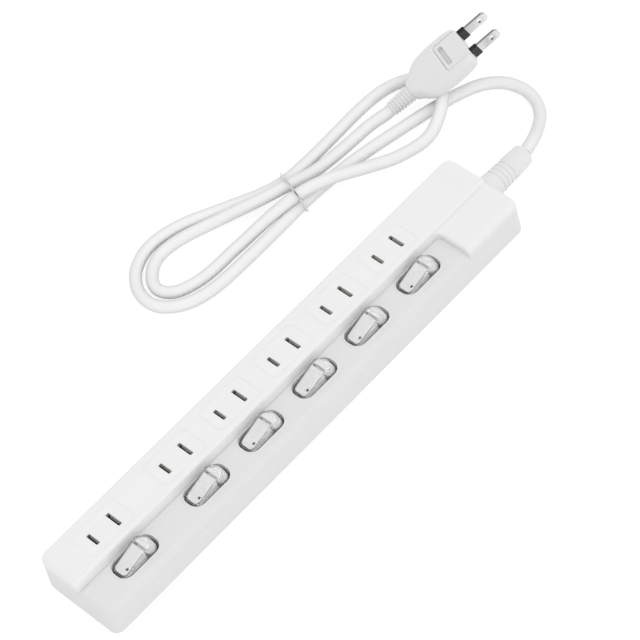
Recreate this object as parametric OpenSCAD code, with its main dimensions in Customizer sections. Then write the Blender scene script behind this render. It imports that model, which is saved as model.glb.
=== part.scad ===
// Power strip with six outlets, a rocker switch for each outlet, and a bundled mains lead.
// Origin: centre of the underside. +X runs towards the lead, +Y towards the outlets, +Z up.

/* [Case] */
// Length of the case
case_l = 271; // [269:0.5:275]
// Width of the case at its foot
case_w = 45; // [44:0.5:48]
// Height of the outlet tier above the table
tier_h = 22; // [21.5:0.25:24]
// Height of the switch tray above the table
tray_h = 16.5; // [16:0.25:17.5]
// Height of the plain block beside the lead
block_h = 20; // [19:0.25:21]
// Length of the plain block beside the lead
block_l = 35.5; // [33:0.5:38]
// Height at which the lower case meets the top cover
split_h = 12.7; // [12:0.1:13]
// Wall of both case halves
wall = 2; // [1.6:0.1:2.4]
// Top wall over the outlets and under the switch tray
top_wall = 1.6; // [1.2:0.1:1.8]
// Distance from the case's middle line to the foot of the tier wall
tier_foot_y = 2.7; // [2.4:0.1:3]
// Lean of the case sides from foot to top
draft = 0.8; // [0.4:0.1:1]
// Radius of the case's upright corners at the foot
corner_r = 4.4; // [3.6:0.1:5]
// Rounding of the tier's top edges
tier_r = 2; // [1.6:0.1:2.2]
// Rounding of the tray's and block's outer shoulder
shoulder_r = 4; // [3:0.25:4]
// Rounding of the bottom edges
foot_r = 1.5; // [1:0.1:2]

/* [Outlets] */
// Number of outlets
outlets = 6; // [6:1:6]
// Distance from the case's far end to the first outlet
first_gap = 28.25; // [27.5:0.25:29]
// Distance from the last outlet to the plain block
last_gap = 22.25; // [21.75:0.25:23]
// Extra room beside the first outlet, for a large adaptor
adaptor_room = 10; // [9:0.5:11]
// Distance from the middle line to the slots
slot_y = 8.45; // [8:0.05:9]
// Spacing between the two slots of an outlet
slot_gap = 12.7; // [12.5:0.1:13]
// Width of each slot
slot_w = 2.2; // [1.9:0.1:2.4]
// Length of the neutral slot
neutral_slot_l = 8.6; // [8:0.1:9]
// Length of the live slot
live_slot_l = 6.9; // [6.6:0.1:7.4]
// Size of the outlined pad around the slots, along the case
pad_l = 26.6; // [26:0.2:28]
// Size of the outlined pad around the slots, across the case
pad_w = 15.8; // [15:0.2:16.4]
// Width of the pad's outline groove
groove_w = 0.5; // [0.3:0.1:0.7]
// Depth of the pad's outline groove
groove_d = 0.25; // [0.1:0.05:0.4]

/* [Switches] */
// Length of the switch opening
opening_l = 23.7; // [23.5:0.1:24.2]
// Width of the switch opening
opening_w = 11.7; // [11.5:0.1:12]
// Distance from the middle line to the switches, on the tray's side
switch_y = 9.45; // [9.3:0.05:9.6]
// Corner radius of the switch opening
opening_r = 4.8; // [4:0.1:5.4]
// Width of the raised rim around the opening
rim_w = 0.9; // [0.6:0.1:0.9]
// Height of the raised rim around the opening
rim_h = 0.35; // [0.2:0.05:0.5]
// Length of the rocker
rocker_l = 21.1; // [20.5:0.1:21.2]
// Width of the rocker at its foot
rocker_w = 10.6; // [10.2:0.1:10.8]
// Width of the rocker's long face at its ridge
rocker_top_w = 8.2; // [7.6:0.1:8.6]
// Height of the rocker's ridge above its pivot
ridge_h = 9.2; // [8.8:0.1:9.3]
// Distance from the rocker's pivot to its ridge, along the case
ridge_x = 4; // [3.5:0.1:4.5]
// Height of the rocker's pressed end above its pivot
pressed_h = 4.6; // [4.4:0.1:4.9]
// Height of the rocker's raised end above its pivot
raised_h = 6.4; // [6:0.1:6.5]
// Height of the rocker pivots above the table
pivot_h = 12.4; // [12.2:0.1:12.6]
// Radius of the rocker's pivot stubs
stub_r = 1.2; // [1:0.1:1.3]
// Running clearance between a pivot stub and its bore
pivot_clear = 0.05; // [0.02:0.01:0.09]
// Wall of the clear rocker shell
rocker_wall = 1.1; // [0.9:0.1:1.2]
// Wall of the switch frame under the tray
frame_wall = 1.4; // [1.2:0.1:1.5]
// Radius of the indicator lamp in each rocker
lamp_r = 1.6; // [1.2:0.1:1.8]
// Length of the indicator lamp in each rocker
lamp_l = 7; // [6:0.5:8]

/* [Contacts] */
// Thickness of the brass strip
brass_t = 0.8; // [0.6:0.1:0.9]
// Height of the contact strips above the table
contact_z = 4.9; // [4.8:0.1:5.2]
// Height of the clip leaves above the contact strips
clip_h = 12.5; // [11:0.25:13]
// Width of a clip leaf
clip_w = 6.6; // [6:0.1:7]
// Gap between the two leaves of a clip
clip_gap = 1.5; // [1.4:0.05:1.6]
// Thickness of a clip leaf
leaf_t = 0.5; // [0.4:0.05:0.6]
// Width of the neutral rail behind the clips
rail_w = 4; // [3.6:0.1:4.4]
// Width of the live rail under the switches
feed_w = 5; // [4.6:0.1:5.4]
// Radius of the knuckle on which each switch bridge rocks
knuckle_r = 0.9; // [0.8:0.05:1]
// Height of the bridge pivots above the table
bridge_h = 6.1; // [6:0.05:6.3]
// Length of the rocking bridge
bridge_l = 15; // [14.6:0.1:15.4]
// Width of the rocking bridge
bridge_w = 4.4; // [4:0.1:4.6]
// Tilt of the bridge from level, at rest
bridge_tilt = 6; // [5.5:0.25:6]

/* [Lead] */
// Diameter of the mains lead
cord_d = 6.2; // [6:0.05:6.3]
// Length of the strain relief outside the case
relief_l = 27.5; // [26:0.5:29]
// Radius of the strain relief at the case
relief_r = 6.7; // [6.4:0.1:7]
// Radius of the strain relief at its collar
collar_r = 5.4; // [5:0.1:5.8]
// Height of the lead's exit above the table
exit_h = 11; // [10.8:0.1:11.2]
// Diameter of the tie wire
tie_d = 1.2; // [1:0.05:1.25]

/* [Plug] */
// Upward tilt of the plug where it lies on its own lead
plug_tilt = 24; // [23.5:0.25:24.5]
// Turn of the plug seen from above
plug_turn = -21.5; // [-22:0.25:-21]
// Length of the plug from its relief to its front
plug_l = 47; // [46:0.5:48]
// Length of the plug's ribbed relief
plug_relief_l = 14; // [13:0.5:15]
// Width of the plug across its two grips
plug_w = 25.6; // [25:0.2:27]
// Thickness of the plug
plug_t = 10; // [9.6:0.1:10.2]
// Width of the plug's terminal block
core_w = 17; // [16.4:0.1:17.4]
// Length of the terminal block that shows
core_l = 14; // [13:0.25:15]
// Thickness of the terminal block
core_t = 8.4; // [8:0.1:8.8]
// Length of each blade beyond the terminal block
blade_l = 16; // [15.9:0.1:18]
// Width of each blade
blade_w = 6.3; // [6.2:0.05:6.4]
// Thickness of each blade
blade_t = 1.5; // [1.4:0.05:1.6]
// Length of the insulating sleeve on each blade
sleeve_l = 4; // [3.5:0.25:5]
// Wall of the insulating sleeve
sleeve_wall = 0.4; // [0.3:0.05:0.5]
// Radius of the hole in each blade
blade_hole_r = 1.5; // [1.4:0.05:1.6]

/* [Screws] */
// Radius of the case screws
screw_r = 1.4; // [1.2:0.1:1.5]
// Radius of the case screws' heads
screw_head_r = 2.6; // [2.4:0.1:2.8]
// Height of the case screws' heads
screw_head_h = 1.5; // [1.3:0.1:1.6]
// Depth of the recesses over the screw heads
recess_d = 3; // [2.8:0.1:3.2]
// Radius of the screw bosses
boss_r = 3.6; // [3.4:0.1:3.8]

/* [Hidden] */
fine = 48;
coarse = 24;
cut = 0.02;

half_l = case_l / 2;
half_w = case_w / 2;
block_x = half_l - block_l;
tray_inner = tray_h - top_wall;
tier_inner = tier_h - top_wall;
block_inner = block_h - top_wall;
tier_lean = 0.7;
block_r = 3.3;
slot_half = slot_gap / 2;
opening_cx = 0.25;
seat_gap = 0.3;
pitch = (case_l - first_gap - adaptor_room - last_gap - block_l) / (outlets - 1);
outlet_x = [for (i = [0 : outlets - 1]) first_gap - half_l + i * pitch + (i > 0 ? adaptor_room : 0)];
last_x = outlet_x[outlets - 1];

// Widths of the brass pads, and where the strips begin and end.
pad_half = 2;
strip_y0 = -13.6;
rail_gap = 1.5;
rail_y = half_w - draft - wall - rail_gap - rail_w / 2;
rail_reach = 9;
rail_end_x = block_x + rail_reach;
feed_reach = 6;
feed_end_x = block_x + feed_reach;
brass_top = contact_z + brass_t;
post_w = 3;

// Switch frame, bridge and rocker details.
frame_z = 7.2;
stub_len = opening_w / 2 + frame_wall;
rocker_foot = -2.6;
rocker_side = 2.6;
plate_low = 0.7;
bridge_top = plate_low + brass_t;
nose_r = 0.9;
nose_x = 0.45;
nose_end = bridge_h + bridge_top + seat_gap - pivot_h;
lamp_x = -1.2;
post_half = 1.2;

// Screw places: at the far end, between outlets, and in the block.
screw_end_gap = 8.5;
screw_block_gap = 13.5;
screw_block_y = 14;
screw_at = [
    [-half_l + screw_end_gap, slot_y],
    [(outlet_x[0] + outlet_x[1]) / 2, slot_y],
    [(outlet_x[1] + outlet_x[2]) / 2, slot_y],
    [(outlet_x[3] + outlet_x[4]) / 2, slot_y],
    [last_x + pitch / 2, slot_y],
    [half_l - screw_block_gap, -screw_block_y]
];
screw_tip_gap = 4;
screw_tip = tier_inner - screw_tip_gap;

// Strain relief, cord tail and clamp.
flange_r = relief_r + 0.5;
flange_t = 2.3;
neck_r = relief_r - 0.5;
tail_x1 = half_l - wall - draft - flange_t;
tail_l = 17.5;
tail_x0 = tail_x1 - tail_l;
clamp_gap = 3.5;
clamp_x0 = tail_x0 + clamp_gap;
clamp_l = 6;
clamp_half = 9.5;
clamp_z = exit_h - 1;
clamp_top = exit_h + cord_d / 2 + 1.5;
clamp_screw_r = 1.2;
clamp_screw_y = 6.6;
wire_d = 2.4;
wire_off = 1.6;
wire_gap = 0.1;

// Margin of the plug's tongue and finger slots inside the terminal block, and the slots' depth.
core_shy = 2.5;
finger_d = 1.6;

// Route of the lead from the strain relief to the plug, lying on the table.
lie = cord_d / 2 + 0.1;
over = lie + cord_d + 0.4;
lift = lie + 1.2;
plug_at = [150.4, 72.9, lie + 2.3];
plug_way = [
    cos(plug_tilt) * cos(plug_turn),
    cos(plug_tilt) * sin(plug_turn),
    sin(plug_tilt)
];
cord_route = [
    [half_l + relief_l, 0, exit_h], [172, 3, 9.2], [181, 7.6, 6], [189, 13, 4],
    [195, 20.6, lie], [197.4, 30, lie], [195.4, 40, lie], [189, 48, lie],
    [179, 53.4, lie], [165, 57.8, lie], [145, 62.6, lie], [122, 67.4, lie],
    [100, 69.6, 3.8], [84, 69.9, lift], [66, 69.8, 3.8], [42, 70, lie],
    [22, 71, lie], [8, 76, lie], [-0.4, 86, lie], [0.4, 98.4, lie],
    [9, 108.6, lie], [23, 113, lie], [40, 109.6, lie], [60, 99.4, lie],
    [75, 90.9, 3.8], [89, 85.9, lift], [105, 85.6, 3.8], [122, 86.4, lie],
    [142, 87, lie], [158, 85.6, lie], [170, 80, lie], [176, 70, 5.2],
    [171, 58.4, over], [161, 50.8, 8.4], [148, 48, 4], [132, 52.2, lie],
    [116, 59, 5.8], [100, 65.6, over], [84, 70.8, over + 1.2], [68, 75.8, 6.4],
    [48, 78.4, lie], [26, 79, lie], [12, 83.4, lie], [6.8, 91, lie],
    [10, 99, lie], [20, 105, lie], [34, 104, lie], [54, 96, 4],
    [70, 87.4, 6.6], [85, 80.6, 8.4], [102, 78.2, 4.6], [122, 77.2, lie],
    [138, 76.4, lie], plug_at - 4 * plug_way, plug_at
];
tie_route = [
    [81.2, 66, 4.4], [81.3, 66.6, 11], [81.6, 68.4, 14.2], [82.2, 71.4, 15.2],
    [84.9, 81.4, 12.6], [87.6, 88.6, 8], [88.6, 90.2, 4.4], [88, 88.8, 1.6],
    [87, 86.2, 0.65], [84, 77.5, 0.65], [81.8, 70, 0.65], [81.3, 67, 1.6]
];

// Unit vector along v.
function unit(v) = v / norm(v);

// Point i of a route, carried on straight past its ends, or round again on a closed one.
function ghost(p, i, closed) =
    closed ? p[(i + len(p)) % len(p)]
    : i < 0 ? 2 * p[0] - p[1]
    : i >= len(p) ? 2 * p[len(p) - 1] - p[len(p) - 2]
    : p[i];

// Smooth curve through four points in a row, at t from the second to the third.
function smooth(a, b, c, d, t) =
    (2 * b + (c - a) * t + (2 * a - 5 * b + 4 * c - d) * t * t + (3 * b - a - 3 * c + d) * t * t * t) / 2;

// Point of the smooth route at u, counted in route points.
function along(p, u, closed) =
    let (i = closed ? floor(u) : min(floor(u), len(p) - 2))
    smooth(ghost(p, i - 1, closed), ghost(p, i, closed), ghost(p, i + 1, closed),
           ghost(p, i + 2, closed), u - i);

// Evenly spaced points of the smooth route.
function sampled(p, rings, closed = false) =
    [for (k = [0 : rings - 1]) along(p, k * (closed ? len(p) : len(p) - 1) / (closed ? rings : rings - 1), closed)];

// Round tube swept along a list of points; up is never along the route.
module tube(path, d, sides, up = [0, 0, 1], closed = false) {
    last = len(path) - 1;
    way = [for (i = [0 : last])
        unit(ghost(path, i + 1, closed) - ghost(path, i - 1, closed))];
    rings = [for (i = [0 : last], k = [0 : sides - 1])
        let (side = unit(cross(way[i], up)), rise = cross(side, way[i]), a = 360 * k / sides)
        path[i] + d / 2 * (cos(a) * side + sin(a) * rise)];
    spans = closed ? last : last - 1;
    skin = [for (i = [0 : spans], k = [0 : sides - 1])
        let (j = (i + 1) % (last + 1), m = (k + 1) % sides)
        [i * sides + k, j * sides + k, j * sides + m, i * sides + m]];
    caps = closed ? [] : [
        [for (k = [0 : sides - 1]) k],
        [for (k = [sides - 1 : -1 : 0]) last * sides + k]
    ];
    polyhedron(points = rings, faces = concat(skin, caps), convexity = 8);
}

// Flat outline of a rectangle with round corners.
module rounded(l, w, r) {
    square([l - 2 * r, w], center = true);
    square([l, w - 2 * r], center = true);
    for (x = [-1, 1], y = [-1, 1])
        translate([x * (l / 2 - r), y * (w / 2 - r)]) circle(r, $fn = fine);
}

// Takes the corner at [x, y] off an outline, leaving a rounding of radius r; sx and sy point outwards.
module round_off(x, y, sx, sy, r) {
    translate([x - sx * r, y - sy * r]) difference() {
        translate([sx > 0 ? 0 : -r - 1, sy > 0 ? 0 : -r - 1]) square(r + 1);
        circle(r, $fn = fine);
    }
}

// Outline with leaning sides from a to b, rounded by r at its top and foot_r at its foot.
module leaning(a, b, z1, lean_a, lean_b, r) {
    difference() {
        polygon([[a, 0], [b, 0], [b - lean_b, z1], [a + lean_a, z1]]);
        round_off(a + lean_a * (1 - r / z1), z1, -1, 1, r);
        round_off(b - lean_b * (1 - r / z1), z1, 1, 1, r);
        round_off(a, 0, -1, -1, foot_r);
        round_off(b, 0, 1, -1, foot_r);
    }
}

// Rounded bar: its cross-section, its side view and its plan meet in one solid.
module bar(y0, y1, z1, r, lean_0, lean_1) {
    intersection() {
        rotate([90, 0, 90]) translate([0, 0, -case_l]) linear_extrude(2 * case_l)
            leaning(y0, y1, z1, lean_0, lean_1, r);
        translate([0, case_w, 0]) rotate([90, 0, 0]) linear_extrude(2 * case_w)
            leaning(-half_l, half_l, z1, draft / 2, draft / 2, r);
        linear_extrude(2 * tier_h) rounded(case_l, case_w, corner_r);
    }
}

// The whole case as one block.
module case_block() {
    bar(-tier_foot_y - 2 * tier_lean, half_w, tier_h, tier_r, 3 * tier_lean, draft);
    bar(-half_w, half_w, tray_h, shoulder_r, draft, 4 * draft);
    intersection() {
        bar(-half_w, half_w, block_h, block_r, draft, 4 * draft);
        translate([block_x, -half_w, 0]) cube([block_l, half_w, tier_h]);
    }
}

// Box between two heights, for the hollow.
module room(x0, x1, y0, y1, z0, z1) {
    translate([x0, y0, z0]) cube([x1 - x0, y1 - y0, z1 - z0]);
}

// The hollow inside the case, a wall in from its sides and stepped in under the rounded shoulder.
module case_hollow() {
    end_x = half_l - wall - draft / 2;
    side_y = half_w - wall - draft;
    step_z = tray_h - shoulder_r + 0.4;
    room(-end_x, end_x, -side_y, side_y, wall, step_z);
    room(-end_x, end_x, wall - tier_foot_y, side_y, wall, tier_inner);
    room(-end_x + 1.6, end_x, 1 - side_y, side_y, wall, tray_inner);
    room(block_x + wall, end_x, 1 - side_y, 0, wall, block_inner);
}

// Everything below or above the line where the case halves meet.
module half_space(upper) {
    translate([-case_l, -case_w, upper ? split_h : -case_w])
        cube([2 * case_l, 2 * case_w, case_w + (upper ? 0 : split_h)]);
}

// Cylinder along the case from x0 to x1 at the lead's exit.
module exit_rod(x0, x1, r) {
    translate([x0, 0, exit_h]) rotate([0, 90, 0]) cylinder(h = x1 - x0, r = r, $fn = fine);
}

module screw_holes(r, z0, z1) {
    for (p = screw_at) translate([p[0], p[1], z0]) cylinder(h = z1 - z0, r = r, $fn = fine);
}

module lower_case() {
    color("gainsboro") difference() {
        union() {
            difference() {
                intersection() {
                    case_block();
                    half_space(false);
                }
                case_hollow();
            }
            intersection() {
                screw_holes(boss_r, wall - cut, split_h);
                case_block();
            }
            for (x = outlet_x, s = [-1, 1])
                translate([x + s * slot_half - post_w / 2, slot_y - clip_w / 2, wall - cut])
                    cube([post_w, clip_w, contact_z - wall + cut]);
            for (x = outlet_x)
                translate([x - slot_half - post_w / 2, strip_y0, wall - cut])
                    cube([post_w, 1.2, contact_z - wall + cut]);
            translate([rail_end_x - 5, rail_y - rail_w / 2, wall - cut])
                cube([post_w, rail_w, contact_z - wall + cut]);
            translate([clamp_x0, -clamp_half, wall - cut])
                cube([clamp_l, 2 * clamp_half, clamp_z - wall + cut]);
        }
        screw_holes(screw_r + pivot_clear, wall, split_h + 1);
        screw_holes(screw_head_r + seat_gap, -1, recess_d);
        exit_rod(clamp_x0 - 1, clamp_x0 + clamp_l + 1, cord_d / 2);
        exit_rod(half_l - wall - draft, half_l + 1, neck_r);
        for (s = [-1, 1])
            translate([clamp_x0 + clamp_l / 2, s * clamp_screw_y, clamp_z - 5])
                cylinder(h = 6, r = clamp_screw_r, $fn = fine);
    }
}

module top_cover() {
    color("whitesmoke") difference() {
        union() {
            difference() {
                intersection() {
                    case_block();
                    half_space(true);
                }
                case_hollow();
            }
            intersection() {
                screw_holes(boss_r, split_h, tier_h);
                case_block();
            }
            for (x = outlet_x)
                translate([x + opening_cx, -switch_y, tray_h - cut])
                    linear_extrude(rim_h + cut)
                        rounded(opening_l + 2 * rim_w, opening_w + 2 * rim_w, opening_r + rim_w);
        }
        screw_holes(screw_r + pivot_clear, split_h - 1, screw_tip + 1);
        exit_rod(half_l - wall - draft, half_l + 1, neck_r);
        for (x = outlet_x) {
            translate([x + opening_cx, -switch_y, tray_inner - 1])
                linear_extrude(top_wall + 2) rounded(opening_l, opening_w, opening_r);
            translate([x, slot_y, tier_h - groove_d])
                linear_extrude(1) difference() {
                    rounded(pad_l, pad_w, corner_r / 2);
                    rounded(pad_l - 2 * groove_w, pad_w - 2 * groove_w, corner_r / 2 - groove_w);
                }
            slot(x - slot_half, live_slot_l);
            slot(x + slot_half, neutral_slot_l);
        }
    }
}

// One blade slot through the tier's top, with a shallow lead-in.
module slot(x, l) {
    translate([x - slot_w / 2, slot_y - l / 2, tier_inner - 1]) cube([slot_w, l, top_wall + 2]);
    translate([x - slot_w / 2 - 0.4, slot_y - l / 2 - 0.4, tier_h - 0.4])
        cube([slot_w + 0.8, l + 0.8, 1]);
}

// Two leaves that grip one blade.
module clip(x) {
    for (s = [-1, 1])
        translate([x + s * (clip_gap + leaf_t) / 2 - leaf_t / 2, slot_y - clip_w / 2, brass_top - cut])
            cube([leaf_t, clip_w, clip_h + cut]);
}

module neutral_rail() {
    rail_x0 = outlet_x[0] + slot_half - pad_half;
    color("goldenrod") {
        translate([rail_x0, rail_y - rail_w / 2, contact_z])
            cube([rail_end_x - rail_x0, rail_w, brass_t]);
        for (x = outlet_x) {
            translate([x + slot_half - pad_half, slot_y - clip_w / 2, contact_z])
                cube([2 * pad_half, rail_y - slot_y + clip_w / 2, brass_t]);
            clip(x + slot_half);
        }
    }
}

// Rail with a grooved post and a rest tab for each switch bridge.
module live_rail() {
    color("goldenrod") difference() {
        union() {
            translate([outlet_x[0] - pad_half, -switch_y - feed_w / 2, wall])
                cube([feed_end_x - outlet_x[0] + pad_half, feed_w, brass_t]);
            for (x = outlet_x) {
                translate([x - 1.6, -switch_y - bridge_w / 2, wall])
                    cube([3.2, bridge_w, bridge_h - seat_gap - wall]);
                translate([x + bridge_l / 2 - 1, -switch_y - bridge_w / 2, wall])
                    cube([brass_t, bridge_w, brass_top - wall]);
            }
        }
        for (x = outlet_x)
            translate([x, -switch_y + feed_w, bridge_h]) rotate([90, 0, 0])
                cylinder(h = 2 * feed_w, r = knuckle_r + pivot_clear, $fn = fine);
    }
}

module live_contact(i) {
    x = outlet_x[i - 1] - slot_half;
    color("goldenrod") {
        translate([x - pad_half, strip_y0, contact_z])
            cube([2 * pad_half, slot_y + clip_w / 2 - strip_y0, brass_t]);
        clip(x);
    }
}

module switch_frame(i) {
    color("silver") translate([outlet_x[i - 1], -switch_y, 0]) difference() {
        translate([opening_cx, 0, frame_z]) linear_extrude(tray_inner - frame_z) difference() {
            square([opening_l + 2 * frame_wall, opening_w + 2 * frame_wall], center = true);
            rounded(opening_l, opening_w, 1);
        }
        translate([0, opening_w, pivot_h]) rotate([90, 0, 0])
            cylinder(h = 2 * opening_w, r = stub_r + pivot_clear, $fn = fine);
    }
}

// Solid form of a rocker about its pivot; inset makes its hollow.
module rocker_form(inset = 0) {
    l = rocker_l / 2 - inset;
    foot = rocker_foot - (inset > 0 ? 1 : 0);
    intersection() {
        translate([0, rocker_w, 0]) rotate([90, 0, 0]) linear_extrude(2 * rocker_w)
            polygon([
                [-l, foot], [-l, pressed_h - inset - 0.6], [-l + 0.6, pressed_h - inset],
                [ridge_x - 0.6, ridge_h - inset], [ridge_x + 1.2, ridge_h - inset],
                [ridge_x + 3.4, ridge_h - inset - 0.7], [l - 0.9, raised_h - inset + 0.8],
                [l, raised_h - inset - 0.6], [l, foot]
            ]);
        rotate([90, 0, 90]) translate([0, 0, -rocker_l]) linear_extrude(2 * rocker_l)
            polygon([
                [-rocker_w / 2 + inset, foot], [rocker_w / 2 - inset, foot],
                [rocker_w / 2 - inset, rocker_side], [rocker_top_w / 2 - inset, ridge_h],
                [-rocker_top_w / 2 + inset, ridge_h], [-rocker_w / 2 + inset, rocker_side]
            ]);
        translate([0, 0, foot]) linear_extrude(2 * ridge_h)
            rounded(2 * l, rocker_w - 2 * inset, opening_r - 1 - inset);
    }
}

module rocker(i) {
    color("lightgray") translate([outlet_x[i - 1], -switch_y, pivot_h]) {
        difference() {
            rocker_form();
            rocker_form(rocker_wall);
        }
        intersection() {
            rocker_form();
            union() {
                translate([-post_half, -rocker_w / 2, rocker_foot])
                    cube([2 * post_half, rocker_w, ridge_h - rocker_foot]);
                translate([lamp_x - lamp_l - 1, -rocker_w / 2, rocker_foot])
                    cube([1, rocker_w, ridge_h - rocker_foot]);
            }
        }
        for (s = [-1, 1])
            rotate([90 * s, 0, 0]) translate([0, 0, rocker_w / 2 - 0.5])
                cylinder(h = stub_len - rocker_w / 2 + 0.5, r = stub_r, $fn = fine);
        translate([nose_x, 0, nose_end]) cylinder(h = rocker_foot - nose_end + 0.5, r = nose_r, $fn = fine);
    }
}

module lamp(i) {
    color("orange") translate([outlet_x[i - 1] + lamp_x - lamp_l, -switch_y, pivot_h])
        rotate([0, 90, 0]) cylinder(h = lamp_l, r = lamp_r, $fn = fine);
}

module bridge(i) {
    color("darkgoldenrod") translate([outlet_x[i - 1], -switch_y, bridge_h]) rotate([0, bridge_tilt, 0]) {
        translate([-bridge_l / 2, -bridge_w / 2, plate_low]) cube([bridge_l, bridge_w, brass_t]);
        translate([0, bridge_w / 2, 0]) rotate([90, 0, 0]) cylinder(h = bridge_w, r = knuckle_r, $fn = fine);
    }
}

module live_wire() {
    color("dimgray") tube(sampled([
        [tail_x0 - wire_gap, -wire_off, exit_h], [tail_x0 - 1, -wire_off, exit_h],
        [tail_x0 - 2, -wire_off, exit_h], [feed_end_x + 3, -4.5, exit_h - 1.5],
        [feed_end_x - 1.8, -switch_y, 7], [feed_end_x - 2, -switch_y, wall + brass_t + 1],
        [feed_end_x - 2, -switch_y, wall + brass_t + wire_gap]
    ], 19), wire_d, 8, [1, 1, 0]);
}

module neutral_wire() {
    color("white") tube(sampled([
        [tail_x0 - wire_gap, wire_off, exit_h], [tail_x0 - 1, wire_off, exit_h],
        [tail_x0 - 2, wire_off, exit_h], [rail_end_x + 1, 8, exit_h],
        [rail_end_x - 1.9, rail_y, exit_h - 1], [rail_end_x - 2, rail_y, brass_top + 1],
        [rail_end_x - 2, rail_y, brass_top + wire_gap]
    ], 19), wire_d, 8, [1, -1, 0]);
}

module cord_tail() {
    color("white") exit_rod(tail_x0, tail_x1, cord_d / 2);
}

module cord_clamp() {
    color("silver") difference() {
        translate([clamp_x0, -clamp_half, clamp_z]) cube([clamp_l, 2 * clamp_half, clamp_top - clamp_z]);
        exit_rod(clamp_x0 - 1, clamp_x0 + clamp_l + 1, cord_d / 2);
        for (s = [-1, 1])
            translate([clamp_x0 + clamp_l / 2, s * clamp_screw_y, clamp_z - 1])
                cylinder(h = clamp_top - clamp_z + 2, r = clamp_screw_r + pivot_clear, $fn = fine);
    }
}

module clamp_screws() {
    color("silver") for (s = [-1, 1]) translate([clamp_x0 + clamp_l / 2, s * clamp_screw_y, clamp_z - 4.5]) {
        cylinder(h = clamp_top - clamp_z + 4.5, r = clamp_screw_r, $fn = fine);
        translate([0, 0, clamp_top - clamp_z + 4.5]) cylinder(h = 1.4, r = 2 * clamp_screw_r, $fn = fine);
    }
}

module case_screws() {
    color("silver") {
        screw_holes(screw_r, recess_d, screw_tip);
        screw_holes(screw_head_r, recess_d - screw_head_h, recess_d);
    }
}

module strain_relief() {
    groove = 0.7;
    rib_x = relief_l * 0.42;
    inner = -wall - draft;
    color("gainsboro") translate([half_l, 0, exit_h]) rotate([0, 90, 0]) rotate_extrude($fn = fine)
        polygon(concat(
            [[0, inner - flange_t], [flange_r, inner - flange_t], [flange_r, inner],
             [neck_r, inner], [neck_r, 0], [relief_r, 0], [relief_r - 0.2, rib_x - 1]],
            [for (k = [0 : 2], p = [[0, 0], [groove, 0.3], [groove, 1.3], [0, 1.6]])
                [relief_r - 0.25 - k * 0.15 - p[0], rib_x + k * 2.5 + p[1]]],
            [[collar_r, relief_l * 0.74], [collar_r + 0.2, relief_l * 0.76], [collar_r, relief_l - 0.6],
             [collar_r - 0.6, relief_l], [0, relief_l]]
        ));
}

module cord() {
    color("white") tube(sampled(cord_route, 80), cord_d, 10);
}

module cord_tie() {
    color("silver") tube(sampled(tie_route, 30, true), tie_d, 8, [1, 0, 0], true);
}

// Places what follows in the plug's own frame: x towards the blades, z out of its upper face.
module in_plug() {
    translate(plug_at) rotate([0, -plug_tilt, plug_turn]) children();
}

// Rim of a rounded disc: r is its radius and edge the rounding of its rim.
module corner(r, edge) {
    rotate_extrude($fn = coarse)
        intersection() {
            translate([r - edge, 0]) circle(edge, $fn = coarse);
            translate([0, -edge]) square([r, 2 * edge]);
        }
}

module plug_body() {
    edge = 3.4;
    grip_r = 6;
    neck_r = 5.4;
    neck_at = plug_relief_l + 4.5;
    shoulder_at = plug_relief_l + 11;
    ribs = 6;
    rib = plug_relief_l / ribs;
    rib_d = 0.6;
    small_r = cord_d / 2 + 0.8;
    step = 0.16;
    root_r = small_r + ribs * step;
    color("gainsboro") in_plug() difference() {
        union() {
            rotate([0, 90, 0]) rotate_extrude($fn = fine) polygon(concat(
                [[0, 0]],
                [for (k = [0 : ribs - 1], p = [[0, 0], [0, 0.6], [-rib_d, 0.65], [-rib_d, 0.95]])
                    [small_r + k * step + p[0], (k + p[1]) * rib]],
                [[root_r, plug_relief_l], [root_r, neck_at], [0, neck_at]]
            ));
            hull() {
                for (z = [-1, 1]) {
                    translate([neck_at, 0, z * (plug_t / 2 - edge)]) corner(neck_r, edge);
                    for (x = [shoulder_at, plug_l - grip_r], y = [-1, 1])
                        translate([x, y * (plug_w / 2 - grip_r), z * (plug_t / 2 - edge)])
                            corner(grip_r, edge);
                }
            }
        }
        translate([plug_l - core_l, -core_w / 2, -plug_t]) cube([core_l + 1, core_w, 2 * plug_t]);
        plug_tenon();
    }
}

// Tongue that holds the terminal block in the plug's moulding.
module plug_tenon() {
    tenon_l = 7;
    tenon_t = 5.2;
    translate([plug_l - core_l - tenon_l, -core_w / 2 + core_shy, -tenon_t / 2])
        cube([tenon_l + cut, core_w - 2 * core_shy, tenon_t]);
}

// Terminal block, with a finger slot across each face.
module plug_core() {
    groove_at = 1.4;
    groove_l = 3;
    color("gainsboro") in_plug() difference() {
        union() {
            translate([plug_l - core_l, -core_w / 2, -core_t / 2]) cube([core_l, core_w, core_t]);
            plug_tenon();
        }
        for (z = [-1, 1])
            translate([plug_l - core_l + groove_at, -core_w / 2 + core_shy, z * core_t / 2 - finger_d])
                cube([groove_l, core_w - 2 * core_shy, 2 * finger_d]);
        for (s = [-1, 1]) blade_form(s);
    }
}

// Flat blade on one side of the plug; its width runs through the plug's thickness.
module blade_form(s) {
    root = 9;
    nose = 1.6;
    translate([0, s * slot_half + blade_t / 2, 0]) rotate([90, 0, 0]) linear_extrude(blade_t)
        polygon([
            [plug_l - root, -blade_w / 2], [plug_l + blade_l - nose, -blade_w / 2],
            [plug_l + blade_l, -blade_w / 2 + nose], [plug_l + blade_l, blade_w / 2 - nose],
            [plug_l + blade_l - nose, blade_w / 2], [plug_l - root, blade_w / 2]
        ]);
}

module plug_blade(s) {
    hole_gap = 4.4;
    color("silver") in_plug() difference() {
        blade_form(s);
        translate([plug_l + blade_l - hole_gap, s * slot_half + blade_t, 0]) rotate([90, 0, 0])
            cylinder(h = 2 * blade_t, r = blade_hole_r, $fn = fine);
    }
}

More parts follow.
